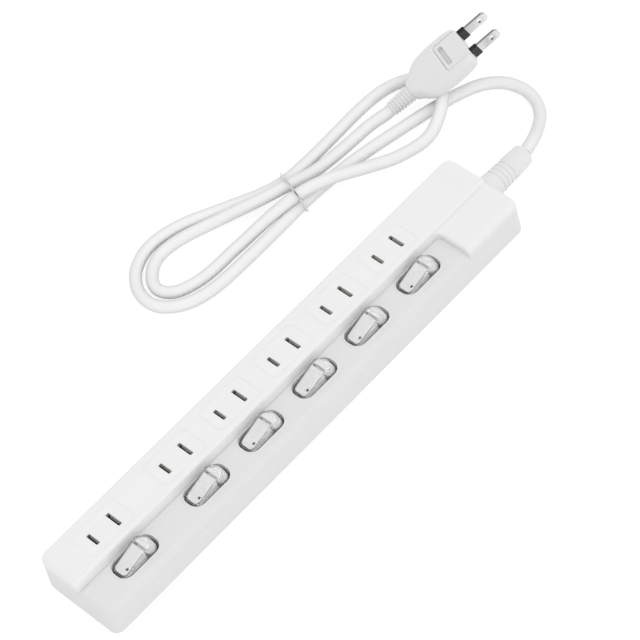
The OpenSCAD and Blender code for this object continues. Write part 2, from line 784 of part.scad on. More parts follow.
module plug_sleeve(s) {
    color("black") in_plug() difference() {
        translate([plug_l, s * slot_half - blade_t / 2 - sleeve_wall, -blade_w / 2 - sleeve_wall])
            cube([sleeve_l, blade_t + 2 * sleeve_wall, blade_w + 2 * sleeve_wall]);
        blade_form(s);
    }
}

lower_case();
top_cover();
neutral_rail();
live_rail();
for (i = [1 : outlets]) {
    live_contact(i);
    switch_frame(i);
    rocker(i);
    lamp(i);
    bridge(i);
}
live_wire();
neutral_wire();
cord_tail();
cord_clamp();
clamp_screws();
case_screws();
strain_relief();
cord();
cord_tie();
plug_body();
plug_core();
plug_blade(-1);  // plug_blade_live
plug_blade(1);  // plug_blade_neutral
plug_sleeve(-1);  // plug_sleeve_live
plug_sleeve(1);  // plug_sleeve_neutral
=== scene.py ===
"""Looks of the power strip: its case, outlets, clear rocker switches, bundled lead and plug.

Shapes are worked out in millimetres in the part's own frame and made metres when a piece is finished.
"""

import math

import bmesh
import bpy
from mathutils import Matrix, Vector


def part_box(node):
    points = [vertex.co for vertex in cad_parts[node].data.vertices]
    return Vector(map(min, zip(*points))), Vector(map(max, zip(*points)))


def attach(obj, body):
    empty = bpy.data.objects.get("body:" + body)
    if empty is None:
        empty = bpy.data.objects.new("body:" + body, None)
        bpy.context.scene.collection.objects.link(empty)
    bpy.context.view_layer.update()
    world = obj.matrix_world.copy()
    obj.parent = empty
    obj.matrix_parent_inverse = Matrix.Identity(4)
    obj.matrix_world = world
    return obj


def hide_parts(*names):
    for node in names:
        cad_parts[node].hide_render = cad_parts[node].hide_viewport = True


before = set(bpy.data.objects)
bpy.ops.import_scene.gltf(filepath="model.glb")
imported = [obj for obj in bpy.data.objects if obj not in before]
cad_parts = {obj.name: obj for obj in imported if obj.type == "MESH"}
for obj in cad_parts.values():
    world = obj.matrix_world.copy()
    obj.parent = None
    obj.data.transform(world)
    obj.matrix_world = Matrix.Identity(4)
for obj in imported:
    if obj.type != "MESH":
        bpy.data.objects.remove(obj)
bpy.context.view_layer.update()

MM = 0.001
ROOT = "case"


def box_mm(node):
    """Lowest and highest corner of a CAD node, in millimetres."""
    low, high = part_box(node)
    return low / MM, high / MM


# Places and sizes that the solids share, most of them from the frame.
HALF_L = box_mm("lower_case")[1].x
HALF_W = box_mm("lower_case")[1].y
SPLIT_Z = box_mm("lower_case")[1].z
TIER_Z = box_mm("top_cover")[1].z
OUTLETS = 6
OUTLET_X = [sum((c.x for c in box_mm(f"switch_frame_{i + 1}"))) / 2 - 0.25 for i in range(OUTLETS)]
SWITCH_Y = sum((c.y for c in box_mm("rocker_1"))) / 2
PIVOT_Z = 12.4

# Case.
WALL = 2.0
TOP_WALL = 1.6
TRAY_Z = 16.5
BLOCK_Z = 20.0
BLOCK_X = HALF_L - 35.5
DRAFT = 0.78
END_LEAN = 0.4
PLAN_R = 4.4
TIER_R = 2.0
TIER_FRONT_R = 1.5
SHOULDER_R = 4.0
BLOCK_R = 3.3
FOOT_R = 1.5
WALL_FOOT_Y = -2.6
WALL_TOP_Y = -1.8
WALL_LEAN = 0.7
RECESS_R = 3.0
BLOCK_EDGE_R = 1.5
BLOCK_WALL_LEAN = 0.2
SEAM = 0.16
CREASE = 0.3

# Outlets and switch openings.
SLOT_Y = 8.45
SLOT_GAP = 12.7
SLOT_W = 1.8
NEUTRAL_L = 8.6
LIVE_L = 6.9
WELL_WALL = 0.9
WELL_Z = 18.25
LEAD_IN = 0.45
UNDERCUT = 0.7
PAD_L = 27.3
PAD_W = 16.4
PAD_R = 3.0
GROOVE_W = 1.1
GROOVE_D = 0.16
OPENING_X = 0.25
OPENING_L = 23.7
OPENING_W = 11.7
OPENING_R = 4.8
THROAT = 0.35
RIM_W = 0.9
RIM_H = 0.35
SLOTS = [(x + s * SLOT_GAP / 2, LIVE_L if s < 0 else NEUTRAL_L) for x in OUTLET_X for s in (-1, 1)]

# Lead.
CORD_D = 6.2
RELIEF_L = 27.5
EXIT_Z = 11.0
EXIT_R = 6.25
TIE_D = 1.0
LIE = CORD_D / 2 + 0.1
OVER = LIE + CORD_D + 0.4
LIFT = LIE + 1.2

# Plug, in its own frame: x towards the blades, z out of its upper face.
PLUG_TILT = 24.0
PLUG_TURN = -21.5
PLUG_AT = Vector((150.4, 72.9, LIE + 2.3))
PLUG_L = 47.0
PLUG_RELIEF_L = 14.0
PLUG_T = 10.0
CORE_W = 17.0
CORE_L = 14.0
CORE_T = 8.4
BLADE_L = 16.0
BLADE_W = 6.3
BLADE_T = 1.5
SLEEVE_L = 4.0
SLEEVE_WALL = 0.4
BLADE_HOLE_R = 1.5

CORD_ROUTE = [
    (HALF_L + RELIEF_L, 0, EXIT_Z), (172, 3, 9.2), (181, 7.6, 6), (189, 13, 4),
    (195, 20.6, LIE), (197.4, 30, LIE), (195.4, 40, LIE), (189, 48, LIE),
    (179, 53.4, LIE), (165, 57.8, LIE), (145, 62.6, LIE), (122, 67.4, LIE),
    (100, 69.6, 3.8), (84, 69.9, LIFT), (66, 69.8, 3.8), (42, 70, LIE),
    (22, 71, LIE), (8, 76, LIE), (-0.4, 86, LIE), (0.4, 98.4, LIE),
    (9, 108.6, LIE), (23, 113, LIE), (40, 109.6, LIE), (60, 99.4, LIE),
    (75, 90.9, 3.8), (89, 85.9, LIFT), (105, 85.6, 3.8), (122, 86.4, LIE),
    (142, 87, LIE), (158, 85.6, LIE), (170, 80, LIE), (176, 70, 5.2),
    (171, 58.4, OVER), (161, 50.8, 8.4), (148, 48, 4), (132, 52.2, LIE),
    (116, 59, 5.8), (100, 65.6, OVER), (84, 70.8, OVER + 1.2), (68, 75.8, 6.4),
    (48, 78.4, LIE), (26, 79, LIE), (12, 83.4, LIE), (6.8, 91, LIE),
    (10, 99, LIE), (20, 105, LIE), (34, 104, LIE), (54, 96, 4),
    (70, 87.4, 6.6), (85, 80.6, 8.4), (102, 78.2, 4.6), (122, 77.2, LIE),
    (138, 76.4, LIE),
]
TIE_ROUTE = [
    (82.1, 66.2, 4.4), (81.3, 66.4, 8), (80.7, 67, 11.6), (80.6, 68.3, 13.8), (81.2, 70.8, 14.8),
    (83.1, 75.5, 13.4), (85.6, 82, 11.9), (87.3, 85.6, 9.7), (88.8, 88.4, 7.5), (90.1, 90.2, 4.4),
    (90, 89, 1.5), (88.6, 86.2, 0.6), (85.6, 77.5, 0.6), (83.4, 70, 0.6), (82.8, 66.9, 1.5),
]


# ---------------- nodes

def put(tree, kind, inputs=(), **settings):
    """New node with its settings and its inputs, each a value or another node's output."""
    node = tree.nodes.new(kind)
    for name, value in settings.items():
        setattr(node, name, value)
    for socket, value in dict(inputs).items():
        if isinstance(value, bpy.types.NodeSocket):
            tree.links.new(value, node.inputs[socket])
        else:
            node.inputs[socket].default_value = value
    return node


def reckon(tree, operation, *values):
    """Result of a maths node on values and outputs."""
    return put(tree, "ShaderNodeMath", enumerate(values), operation=operation).outputs[0]


def spread(tree, value, low, high, start=0.0, end=1.0):
    """Start to end as the value goes from low to high, and held there past them."""
    inputs = {"Value": value, "From Min": low, "From Max": high, "To Min": start, "To Max": end}
    return put(tree, "ShaderNodeMapRange", inputs).outputs["Result"]


def scaled(tree, colour, share):
    """The colour times a share."""
    inputs = {0: colour, "Scale": share}
    return put(tree, "ShaderNodeVectorMath", inputs, operation="SCALE").outputs["Vector"]


def place_of(tree, kind):
    """Coordinates of one kind."""
    return put(tree, "ShaderNodeTexCoord").outputs[kind]


def place_apart(tree, kind):
    """Separate X, Y and Z of the coordinates of one kind."""
    return put(tree, "ShaderNodeSeparateXYZ", {0: place_of(tree, kind)}).outputs


def new_object(name, data):
    """Object of that data, in the scene."""
    thing = bpy.data.objects.new(name, data)
    bpy.context.scene.collection.objects.link(thing)
    return thing


# ---------------- camera and stage

def make_camera():
    """Long lens from the near end's tray side, a little rolled."""
    azimuth, elevation, roll_angle = (math.radians(a) for a in (-35.54, 52.90, -14.90))
    distance = 1.3024
    look_at = Vector((0.04027, 0.02028, 0))
    back = Vector((
        math.sin(azimuth) * math.cos(elevation),
        -math.cos(azimuth) * math.cos(elevation),
        math.sin(elevation),
    ))
    level = Vector((math.cos(azimuth), math.sin(azimuth), 0))
    rise = back.cross(level)
    right = level * math.cos(roll_angle) + rise * math.sin(roll_angle)
    up = rise * math.cos(roll_angle) - level * math.sin(roll_angle)
    data = bpy.data.cameras.new("camera")
    data.sensor_width = 36
    data.lens = 160.6
    data.clip_start = 0.01
    data.clip_end = 50
    camera = new_object("camera", data)
    turn = Matrix((right, up, back)).transposed().to_4x4()
    camera.matrix_world = Matrix.Translation(look_at + back * distance) @ turn
    bpy.context.scene.camera = camera


def add_area(name, place, aim, size, power):
    """Soft square lamp at place, turned towards aim."""
    data = bpy.data.lights.new(name, "AREA")
    data.size = size
    data.energy = power
    lamp = new_object(name, data)
    lamp.location = place
    lamp.rotation_euler = (Vector(aim) - Vector(place)).to_track_quat("-Z", "Y").to_euler()


def emptied(thing):
    """Bare node tree of a world or material."""
    thing.use_nodes = True
    thing.node_tree.nodes.clear()
    return thing.node_tree


def seen_directly(tree):
    """1 where a ray comes from the camera, a mirror-like surface or clear plastic."""
    path = put(tree, "ShaderNodeLightPath").outputs
    glossy = reckon(tree, "MAXIMUM", path["Is Camera Ray"], path["Is Glossy Ray"])
    return reckon(tree, "MAXIMUM", glossy, path["Is Transmission Ray"])


def ceiling_shade(tree):
    """White, but greyer overhead for mirror-like rays."""
    path = put(tree, "ShaderNodeLightPath").outputs
    fall = spread(tree, place_apart(tree, "Generated")["Z"], 0.25, 0.8, 0, 0.85)
    return reckon(tree, "SUBTRACT", 1.0, reckon(tree, "MULTIPLY", fall, path["Is Glossy Ray"]))


def side_shade(tree):
    """Soft light that is strongest from overhead and weakest near the horizon."""
    level, slant = 0.75, (0.05, -0.15, 0.42)
    inputs = {0: place_of(tree, "Generated"), 1: slant}
    lean = put(tree, "ShaderNodeVectorMath", inputs, operation="DOT_PRODUCT")
    return reckon(tree, "ADD", lean.outputs["Value"], level)


def make_world():
    """Even pale surroundings, white where they are seen."""
    world = bpy.data.worlds.new("surroundings")
    bpy.context.scene.world = world
    tree = emptied(world)
    light, white = (
        put(tree, "ShaderNodeBackground", {"Color": WHITE, "Strength": shade}).outputs[0]
        for shade in (side_shade(tree), ceiling_shade(tree))
    )
    choice = put(tree, "ShaderNodeMixShader", {0: seen_directly(tree), 1: light, 2: white})
    put(tree, "ShaderNodeOutputWorld", {"Surface": choice.outputs[0]})


def make_floor():
    """White table top that keeps a faint shadow."""
    half, drop, paint, glow, glow_share = 6.0, -0.0001, 0.94, 1.085, 0.8
    mesh = bpy.data.meshes.new("floor")
    corners = ((-half, -half), (half, -half), (half, half), (-half, half))
    mesh.from_pydata([(x, y, drop) for x, y in corners], [], [(0, 1, 2, 3)])
    material = bpy.data.materials.new("table_white")
    tree = emptied(material)
    matt = put(tree, "ShaderNodeBsdfDiffuse", {"Color": (paint, paint, paint, 1)})
    bright = put(tree, "ShaderNodeEmission", {"Color": WHITE, "Strength": glow})
    share = reckon(tree, "MULTIPLY", seen_directly(tree), glow_share)
    mix = put(tree, "ShaderNodeMixShader", {0: share, 1: matt.outputs[0], 2: bright.outputs[0]})
    put(tree, "ShaderNodeOutputMaterial", {"Surface": mix.outputs[0]})
    mesh.materials.append(material)
    new_object("floor", mesh)


# ---------------- finishes

def shader_group(name, inputs, outputs):
    """Empty node group with named sockets, and its input and output nodes."""
    tree = bpy.data.node_groups.new(name, "ShaderNodeTree")
    for label, value in inputs.items():
        kind = "NodeSocketFloat" if isinstance(value, float) else "NodeSocketColor"
        socket = tree.interface.new_socket(name=label, in_out="INPUT", socket_type=kind)
        socket.default_value = value
    for label in outputs:
        kind = "NodeSocketColor" if label == "Colour" else "NodeSocketFloat"
        tree.interface.new_socket(name=label, in_out="OUTPUT", socket_type=kind)
    return tree, tree.nodes.new("NodeGroupInput").outputs, tree.nodes.new("NodeGroupOutput").inputs


def noise(tree, place, scale, detail):
    """Value of a cloudy pattern."""
    inputs = {"Vector": place, "Scale": scale, "Detail": detail}
    return put(tree, "ShaderNodeTexNoise", inputs).outputs["Fac"]


def make_grain_group():
    """Fine spark-eroded grain of a mould, with a slow waviness under it."""
    tree, given, made = shader_group("mould_grain", {"Fineness": 2500.0, "Waviness": 0.3}, ["Height"])
    place = place_of(tree, "Object")
    waves = reckon(tree, "MULTIPLY", noise(tree, place, 70, 1), given["Waviness"])
    grain = noise(tree, place, given["Fineness"], 2)
    tree.links.new(reckon(tree, "ADD", grain, waves), made["Height"])
    return tree


def make_tone_group():
    """Slight unevenness of a moulded colour: slow clouds, and paler edges that are partly rub wear and partly
    a painted highlight.
    """
    tree, given, made = shader_group(
        "moulded_tone",
        {"Colour": PALE, "Clouds": 0.04, "Rub_And_Highlight": 0.1, "Size": 45.0, "Gloss": 0.4},
        ["Colour", "Roughness"],
    )
    cloud = noise(tree, place_of(tree, "Object"), given["Size"], 4)
    swing = reckon(tree, "SUBTRACT", cloud, 0.5)
    shaded = scaled(tree, given["Colour"], reckon(tree, "MULTIPLY_ADD", swing, given["Clouds"], 1.0))
    # Paler edges: partly rub wear, partly a painted highlight.
    edge = spread(tree, put(tree, "ShaderNodeNewGeometry").outputs["Pointiness"], 0.52, 0.62)
    rub_and_highlight = reckon(tree, "MULTIPLY", edge, given["Rub_And_Highlight"])
    paler = put(tree, "ShaderNodeMix", {"Factor": rub_and_highlight, "A": shaded, "B": WHITE}, data_type="RGBA")
    tree.links.new(paler.outputs["Result"], made["Colour"])
    tree.links.new(reckon(tree, "MULTIPLY_ADD", swing, 0.25, given["Gloss"]), made["Roughness"])
    return tree


def make_strand_group():
    """Faint lengthwise drawing marks, along the first direction of the piece's own map."""
    tree, given, made = shader_group("drawn_marks", {"Around": 18.0, "Along": 60.0}, ["Height"])
    chart = place_apart(tree, "UV")
    turn = reckon(tree, "MULTIPLY", chart["Y"], math.tau)
    joined = put(tree, "ShaderNodeCombineXYZ", {
        "X": reckon(tree, "MULTIPLY", chart["X"], given["Along"]),
        "Y": reckon(tree, "COSINE", turn),
        "Z": reckon(tree, "SINE", turn),
    })
    tree.links.new(noise(tree, joined.outputs[0], given["Around"], 3), made["Height"])
    return tree


def make_low_shade_group():
    """Painted shade: a darker colour below a height, for the shade that falls on the tray and the lower faces
    under the tier.
    """
    tree, given, made = shader_group(
        "painted_low_shade", {"Colour": PALE, "Height": 0.019, "Share": 1.0}, ["Colour"],
    )
    above = reckon(tree, "SUBTRACT", place_apart(tree, "Object")["Z"], given["Height"])
    # Painted shade: the colour falls to a share of itself below the height.
    share = spread(tree, above, -0.0035, 0.0012, given["Share"])
    tree.links.new(scaled(tree, given["Colour"], share), made["Colour"])
    return tree


WHITE = (1, 1, 1, 1)
PALE = (0.8, 0.8, 0.8, 1)
GRAIN = make_grain_group()
TONE = make_tone_group()
STRAND = make_strand_group()
LOW_SHADE_GROUP = make_low_shade_group()


def facing_share(tree, low, high, start, end):
    """Start where the surface is faced, and end where it turns away."""
    facing = put(tree, "ShaderNodeLayerWeight", {"Blend": 0.5}).outputs["Facing"]
    return spread(tree, facing, low, high, start, end)


def new_material(name, colour, gloss, clouds, rub_and_highlight):
    """Material with an uneven gloss, its tree, its shader and its uneven colour."""
    material = bpy.data.materials.new(name)
    material.use_nodes = True
    tree = material.node_tree
    shader = tree.nodes["Principled BSDF"]
    inputs = {"Colour": (*colour, 1), "Clouds": clouds, "Rub_And_Highlight": rub_and_highlight, "Gloss": gloss}
    tone = put(tree, "ShaderNodeGroup", inputs, node_tree=TONE)
    tree.links.new(tone.outputs["Roughness"], shader.inputs["Roughness"])
    return material, tree, shader, tone.outputs["Colour"]


def emboss(tree, shader, relief, strength, depth):
    """Fine relief from the height of a group."""
    inputs = {"Strength": strength, "Distance": depth, "Height": relief.outputs["Height"]}
    bump = put(tree, "ShaderNodeBump", inputs)
    tree.links.new(bump.outputs["Normal"], shader.inputs["Normal"])


def finish_of(name, colour, gloss, fineness=2500.0, depth=0.00002, clouds=0.03, rub_and_highlight=0.1,
              metal=0.0, strands=False, low_shade=1.0, edge=1.0):
    """Procedural finish: an uneven colour, its gloss and a fine relief, with painted shade below a height and
    on flanks turned from view where asked.
    """
    material, tree, shader, tone = new_material(name, colour, gloss, clouds, rub_and_highlight)
    shader.inputs["Metallic"].default_value = metal
    # Painted shade: the colour darkens below a height where asked.
    lower = put(tree, "ShaderNodeGroup", {"Colour": tone, "Share": low_shade}, node_tree=LOW_SHADE_GROUP)
    shade = lower.outputs["Colour"]
    # Painted shade on flanks that turn away from view, where asked.
    if edge < 1:
        shade = scaled(tree, shade, facing_share(tree, 0.08, 0.62, 1.0, edge))
    tree.links.new(shade, shader.inputs["Base Color"])
    if strands:
        relief = put(tree, "ShaderNodeGroup", node_tree=STRAND)
    else:
        relief = put(tree, "ShaderNodeGroup", {"Fineness": fineness}, node_tree=GRAIN)
    emboss(tree, shader, relief, 0.35, depth)
    return material


def clear_finish(name, colour, gloss, cloudy, ior=1.49, through=0.88):
    """Clear plastic or glass: cloudy scatters light, and through passes straight where it is faced."""
    material, tree, shader, tone = new_material(name, colour, gloss, 0.03, 0.0)
    shader.inputs["Transmission Weight"].default_value = 1 - cloudy
    shader.inputs["IOR"].default_value = ior
    tree.links.new(tone, shader.inputs["Base Color"])
    tree.links.new(facing_share(tree, 0.25, 0.85, 1 - through, 1.0), shader.inputs["Alpha"])
    relief = put(tree, "ShaderNodeGroup", {"Fineness": 300.0, "Waviness": 0.6}, node_tree=GRAIN)
    emboss(tree, shader, relief, 0.2, 0.00005)
    return material


# Colour, gloss and what differs from a plain moulding.
SURFACES = {
    # The case's colour has painted shade on the tray and lower faces below the tier, and paler edges that are
    # partly rub wear and partly painted highlight.
    "case_plastic": ((0.85, 0.85, 0.85), 0.42, {"clouds": 0.02, "rub_and_highlight": 0.12, "low_shade": 0.87}),
    "frame_plastic": ((0.82, 0.82, 0.82), 0.5, {}),
    "brass_strip": ((0.72, 0.7, 0.655), 0.45, {"metal": 1.0, "clouds": 0.1}),
    "bridge_brass": ((0.66, 0.58, 0.44), 0.4, {"metal": 1.0, "clouds": 0.15}),
    "wire_dark": ((0.05, 0.05, 0.055), 0.4, {"fineness": 1500}),
    "wire_white": ((0.8, 0.8, 0.8), 0.4, {"fineness": 1500}),
    # The lead's colour has painted shade on its flanks turned from view.
    "cord_vinyl": ((0.9, 0.9, 0.9), 0.36, {"strands": True, "depth": 0.00008, "rub_and_highlight": 0.0, "edge": 0.8}),
    "relief_vinyl": ((0.78, 0.78, 0.78), 0.42, {"fineness": 1800}),
    "carrier_white": ((0.93, 0.93, 0.93), 0.5, {"rub_and_highlight": 0.0}),
    "plug_block": ((0.78, 0.78, 0.78), 0.45, {"fineness": 2200}),
    "plated_steel": ((0.62, 0.62, 0.64), 0.3, {"metal": 1.0, "clouds": 0.15}),
    "plated_blade": ((0.74, 0.74, 0.75), 0.22, {"metal": 1.0, "clouds": 0.12}),
    "sleeve_black": ((0.015, 0.015, 0.016), 0.45, {"rub_and_highlight": 0.0}),
    "tie_wire": ((0.66, 0.66, 0.67), 0.25, {"metal": 1.0, "clouds": 0.1}),
}
FINISH = {name: finish_of(name, colour, gloss, **more) for name, (colour, gloss, more) in SURFACES.items()}
FINISH["clear_rocker"] = clear_finish("clear_rocker", (0.98, 0.98, 0.98), 0.05, 0.3)
FINISH["lamp_glass"] = clear_finish("lamp_glass", (0.75, 0.72, 0.7), 0.05, 0.1, 1.5)


# ---------------- mesh helpers

def kept(name, work):
    """Object of a shape that has been worked on."""
    mesh = bpy.data.meshes.new(name)
    work.to_mesh(mesh)
    work.free()
    return new_object(name, mesh)


def solid(name, points, faces):
    """Object of those points, in millimetres, with doubles merged and faces turned outwards."""
    work = bmesh.new()
    corners = [work.verts.new(p) for p in points]
    for face in faces:
        work.faces.new([corners[i] for i in face])
    bmesh.ops.remove_doubles(work, verts=work.verts, dist=1e-4)
    bmesh.ops.dissolve_degenerate(work, edges=work.edges, dist=1e-5)
    bmesh.ops.recalc_face_normals(work, faces=work.faces)
    return kept(name, work)


def loft(name, sections, closed=False, lipped=False):
    """Skin over sections of equal point counts, capped at its ends unless it is closed on itself.

    A lipped skin's first and last points lie back from its end faces and get a face of their own.
    """
    count, last = len(sections[0]), len(sections) - 1
    points = [p for s in sections for p in s]
    faces = []
    for i in range(last + closed):
        j = (i + 1) % len(sections)
        for k in range(count):
            m = (k + 1) % count
            faces.append((i * count + k, j * count + k, j * count + m, i * count + m))
    for start in () if closed else (0, last * count):
        faces.append(tuple(range(start + lipped, start + count - lipped)))
        if lipped:
            faces.append((start, start + 1, start + count - 2, start + count - 1))
    return solid(name, points, faces)


def applied(thing):
    """Bakes the object's modifiers into its mesh."""
    bpy.context.view_layer.update()
    shape = thing.evaluated_get(bpy.context.evaluated_depsgraph_get())
    mesh = bpy.data.meshes.new_from_object(shape)
    thing.modifiers.clear()
    old = thing.data
    thing.data = mesh
    bpy.data.meshes.remove(old)
    return thing


def combine(thing, tool, operation):
    """Adds, takes away or keeps what another object covers, and removes that object."""
    step = thing.modifiers.new("combine", "BOOLEAN")
    step.object = tool
    step.operation = operation
    step.solver = "MANIFOLD"
    applied(thing)
    bpy.data.objects.remove(tool)
    return thing


def merge_close(thing, gap=0.002):
    """Joins points that a cut has left almost on top of each other."""
    work = bmesh.new()
    work.from_mesh(thing.data)
    bmesh.ops.dissolve_degenerate(work, dist=gap, edges=work.edges)
    work.to_mesh(thing.data)
    work.free()
    return thing


def together(name, things):
    """One object of several that don't touch."""
    work = bmesh.new()
    for thing in things:
        work.from_mesh(thing.data)
        bpy.data.objects.remove(thing)
    return kept(name, work)


def copies(name, thing, places):
    """One object of copies of another at several places, in place of it."""
    work = bmesh.new()
    for place in places:
        mesh = thing.data.copy()
        mesh.transform(Matrix.Translation(Vector(place)))
        work.from_mesh(mesh)
        bpy.data.meshes.remove(mesh)
    bpy.data.objects.remove(thing)
    return kept(name, work)


def rounded_outline(length, width, radius, steps=8, at=(0, 0)):
    """Points round a rectangle with round corners, anticlockwise, centred on a place."""
    points = []
    for cx, cy, start in ((1, 1, 0), (-1, 1, 90), (-1, -1, 180), (1, -1, 270)):
        for k in range(steps + 1):
            a = math.radians(start + 90 * k / steps)
            x = cx * (length / 2 - radius) + radius * math.cos(a)
            y = cy * (width / 2 - radius) + radius * math.sin(a)
            points.append((x + at[0], y + at[1]))
    return points


def column(name, levels):
    """Solid through outlines at several heights: a list of height and outline points."""
    return loft(name, [[(x, y, z) for x, y in outline] for z, outline in levels])


def block(low, high):
    """Box between two corners."""
    outline = [(low[0], low[1]), (high[0], low[1]), (high[0], high[1]), (low[0], high[1])]
    return column("block", [(low[2], outline), (high[2], outline)])


def turned(name, profile, sides=48):
    """Solid of revolution about x: profile is a list of distance along x and radius."""
    sections = []
    for x, r in profile:
        sections.append([(x, r * math.cos(math.tau * k / sides), r * math.sin(math.tau * k / sides))
                         for k in range(sides)])
    return loft(name, sections)


def rod(start, end, radius, sides=32):
    """Round bar between two points."""
    a, b = Vector(start), Vector(end)
    bar = turned("rod", [(0, radius), ((b - a).length, radius)], sides)
    way = Vector((1, 0, 0)).rotation_difference(b - a).to_matrix().to_4x4()
    bar.data.transform(Matrix.Translation(a) @ way)
    return bar


def soften(thing, width, segments=2, angle=35):
    """Rounds every edge sharper than the angle."""
    step = thing.modifiers.new("soften", "BEVEL")
    step.width = width
    step.segments = segments
    step.limit_method = "ANGLE"
    step.angle_limit = math.radians(angle)
    step.use_clamp_overlap = True
    return applied(thing)


def paint(mesh, name):
    """Gives a mesh that one material."""
    mesh.materials.clear()
    mesh.materials.append(FINISH[name])


def finish_piece(thing, finish, replaces=(), body=ROOT, angle=32, at=None, weighted=True, material=None):
    """Makes a shape in millimetres a finished piece: metres, shading, material and body."""
    if at is not None:
        thing.data.transform(at)
    thing.data.transform(Matrix.Scale(MM, 4))
    mesh = thing.data
    paint(mesh, material or finish)
    mesh.polygons.foreach_set("use_smooth", [True] * len(mesh.polygons))
    mesh.set_sharp_from_angle(angle=math.radians(angle))
    if weighted:
        step = thing.modifiers.new("even_normals", "WEIGHTED_NORMAL")
        step.keep_sharp = True
        step.weight = 100
        applied(thing)
    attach(thing, body)
    if replaces:
        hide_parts(*replaces)
    return thing


# ---------------- case

def roll(depth, radius):
    """How far a rounded edge has fallen back at this depth from the end."""
    short = radius - min(depth, radius)
    return radius - math.sqrt(max(radius * radius - short * short, 0))


def arc(cy, cz, radius, start, stop, steps):
    """Section points on an arc; angles in degrees from +y."""
    turns = [math.radians(start + (stop - start) * k / steps) for k in range(steps + 1)]
    return [(cy + radius * math.cos(a), cz + radius * math.sin(a)) for a in turns]


def grouped(points, group):
    """Section points with the group that they belong to."""
    return [(y, z, group) for y, z in points]


# Half the width of the case where its halves meet.
SIDE_Y = HALF_W - DRAFT


def block_rise(x):
    """Height of the tray's floor at x, where the plain block's wall rises from it."""
    out = x - BLOCK_X
    if out <= 0:
        return TRAY_Z
    if out <= BLOCK_WALL_LEAN:
        return TRAY_Z + (BLOCK_Z - BLOCK_EDGE_R - TRAY_Z) * out / BLOCK_WALL_LEAN
    short = BLOCK_EDGE_R - min(out - BLOCK_WALL_LEAN, BLOCK_EDGE_R)
    return BLOCK_Z - BLOCK_EDGE_R + math.sqrt(BLOCK_EDGE_R**2 - short**2)


def cover_section(x):
    """Top cover's outline across the case at x: y, z and the group that the point belongs to.

    Groups are the near and far sides, the tray wall and the flats between them.
    """
    floor_z = block_rise(x)
    turn = min(max(x - BLOCK_X + RECESS_R, 0), RECESS_R)
    foot_y = WALL_FOOT_Y - RECESS_R + math.sqrt(RECESS_R**2 - turn**2)
    steps, side, rise = 9, SIDE_Y, BLOCK_Z - TRAY_Z
    drop = SPLIT_Z + SEAM + SHOULDER_R - TRAY_Z
    low = arc(SHOULDER_R - side, SPLIT_Z + SEAM, SHOULDER_R, 180, 90, steps)
    low = [(y, z - drop * k / steps) for k, (y, z) in enumerate(low)]
    high = [(-side, SPLIT_Z + SEAM)] + arc(BLOCK_R - side, BLOCK_Z - BLOCK_R, BLOCK_R, 180, 90, steps - 1)
    share = (floor_z - TRAY_Z) / rise
    points = [(SEAM - side, SPLIT_Z, "near")]
    for (y0, z0), (y1, z1) in zip(low, high):
        points.append((y0 + (y1 - y0) * share, z0 + (z1 - z0) * share, "near"))
    start = points[-1][0]
    points += [(start + (foot_y - start) * k, floor_z, "flat") for k in (0.4, 0.6, 0.8)]
    crease = CREASE if floor_z == TRAY_Z else 0
    points += [(foot_y - 0.2, floor_z, "wall"), (foot_y - 0.06, floor_z - crease, "wall")]
    edge = min(BLOCK_EDGE_R, WALL_FOOT_Y - foot_y)
    wall = [(foot_y + WALL_LEAN * k / 3, TRAY_Z + rise * k / 3 * (1 - edge / rise)) for k in range(4)]
    wall += arc(foot_y + WALL_LEAN + edge, BLOCK_Z - edge, edge, 150, 90, 3)
    wall.append((WALL_FOOT_Y + WALL_LEAN, BLOCK_Z))
    points += [(y, max(z, floor_z), "wall") for y, z in wall]
    crest = arc(WALL_TOP_Y + TIER_FRONT_R, TIER_Z - TIER_FRONT_R, TIER_FRONT_R, 180, 90, 6)
    points += grouped(crest, "wall")
    back, front = side - TIER_R, crest[-1][0]
    points += [(front + (back - front) * k, TIER_Z, "flat") for k in (0.25, 0.5, 0.7)]
    points += grouped(arc(back, TIER_Z - TIER_R, TIER_R, 90, 0, 6), "far")
    points += [(side, SPLIT_Z + SEAM, "far"), (side - SEAM, SPLIT_Z, "far")]
    return points


def base_section(_):
    """Lower case's outline across the case, the same all along it."""
    side = SIDE_Y
    centre = HALF_W - DRAFT * FOOT_R / SPLIT_Z - FOOT_R
    points = [(SEAM - side, SPLIT_Z, "near"), (-side, SPLIT_Z - SEAM, "near")]
    points += grouped(arc(-centre, FOOT_R, FOOT_R, 180, 270, 6), "near")
    points += [(centre * k, 0, "flat") for k in (-0.5, 0, 0.5)]
    points += grouped(arc(centre, FOOT_R, FOOT_R, 270, 360, 6), "far")
    points += [(side, SPLIT_Z - SEAM, "far"), (side - SEAM, SPLIT_Z, "far")]
    return points


def case_stations():
    """Places along the case where its outline is drawn."""
    ends = [PLAN_R * (1 - math.cos(math.radians(a))) for a in range(0, 91, 9)]
    near = [-HALF_L + d for d in ends]
    middle = [-100, -65, -30, 5, 40, 75, BLOCK_X - RECESS_R - 2]
    turns = [math.radians(a) for a in range(0, 91, 15)]
    corner = [BLOCK_X - RECESS_R + RECESS_R * math.sin(a) for a in turns]
    edge = [BLOCK_X + BLOCK_WALL_LEAN + BLOCK_EDGE_R * (1 - math.cos(a)) for a in turns]
    far = [HALF_L - d for d in reversed(ends)]
    return near + middle + corner + edge + [(edge[-1] + far[0]) / 2] + far


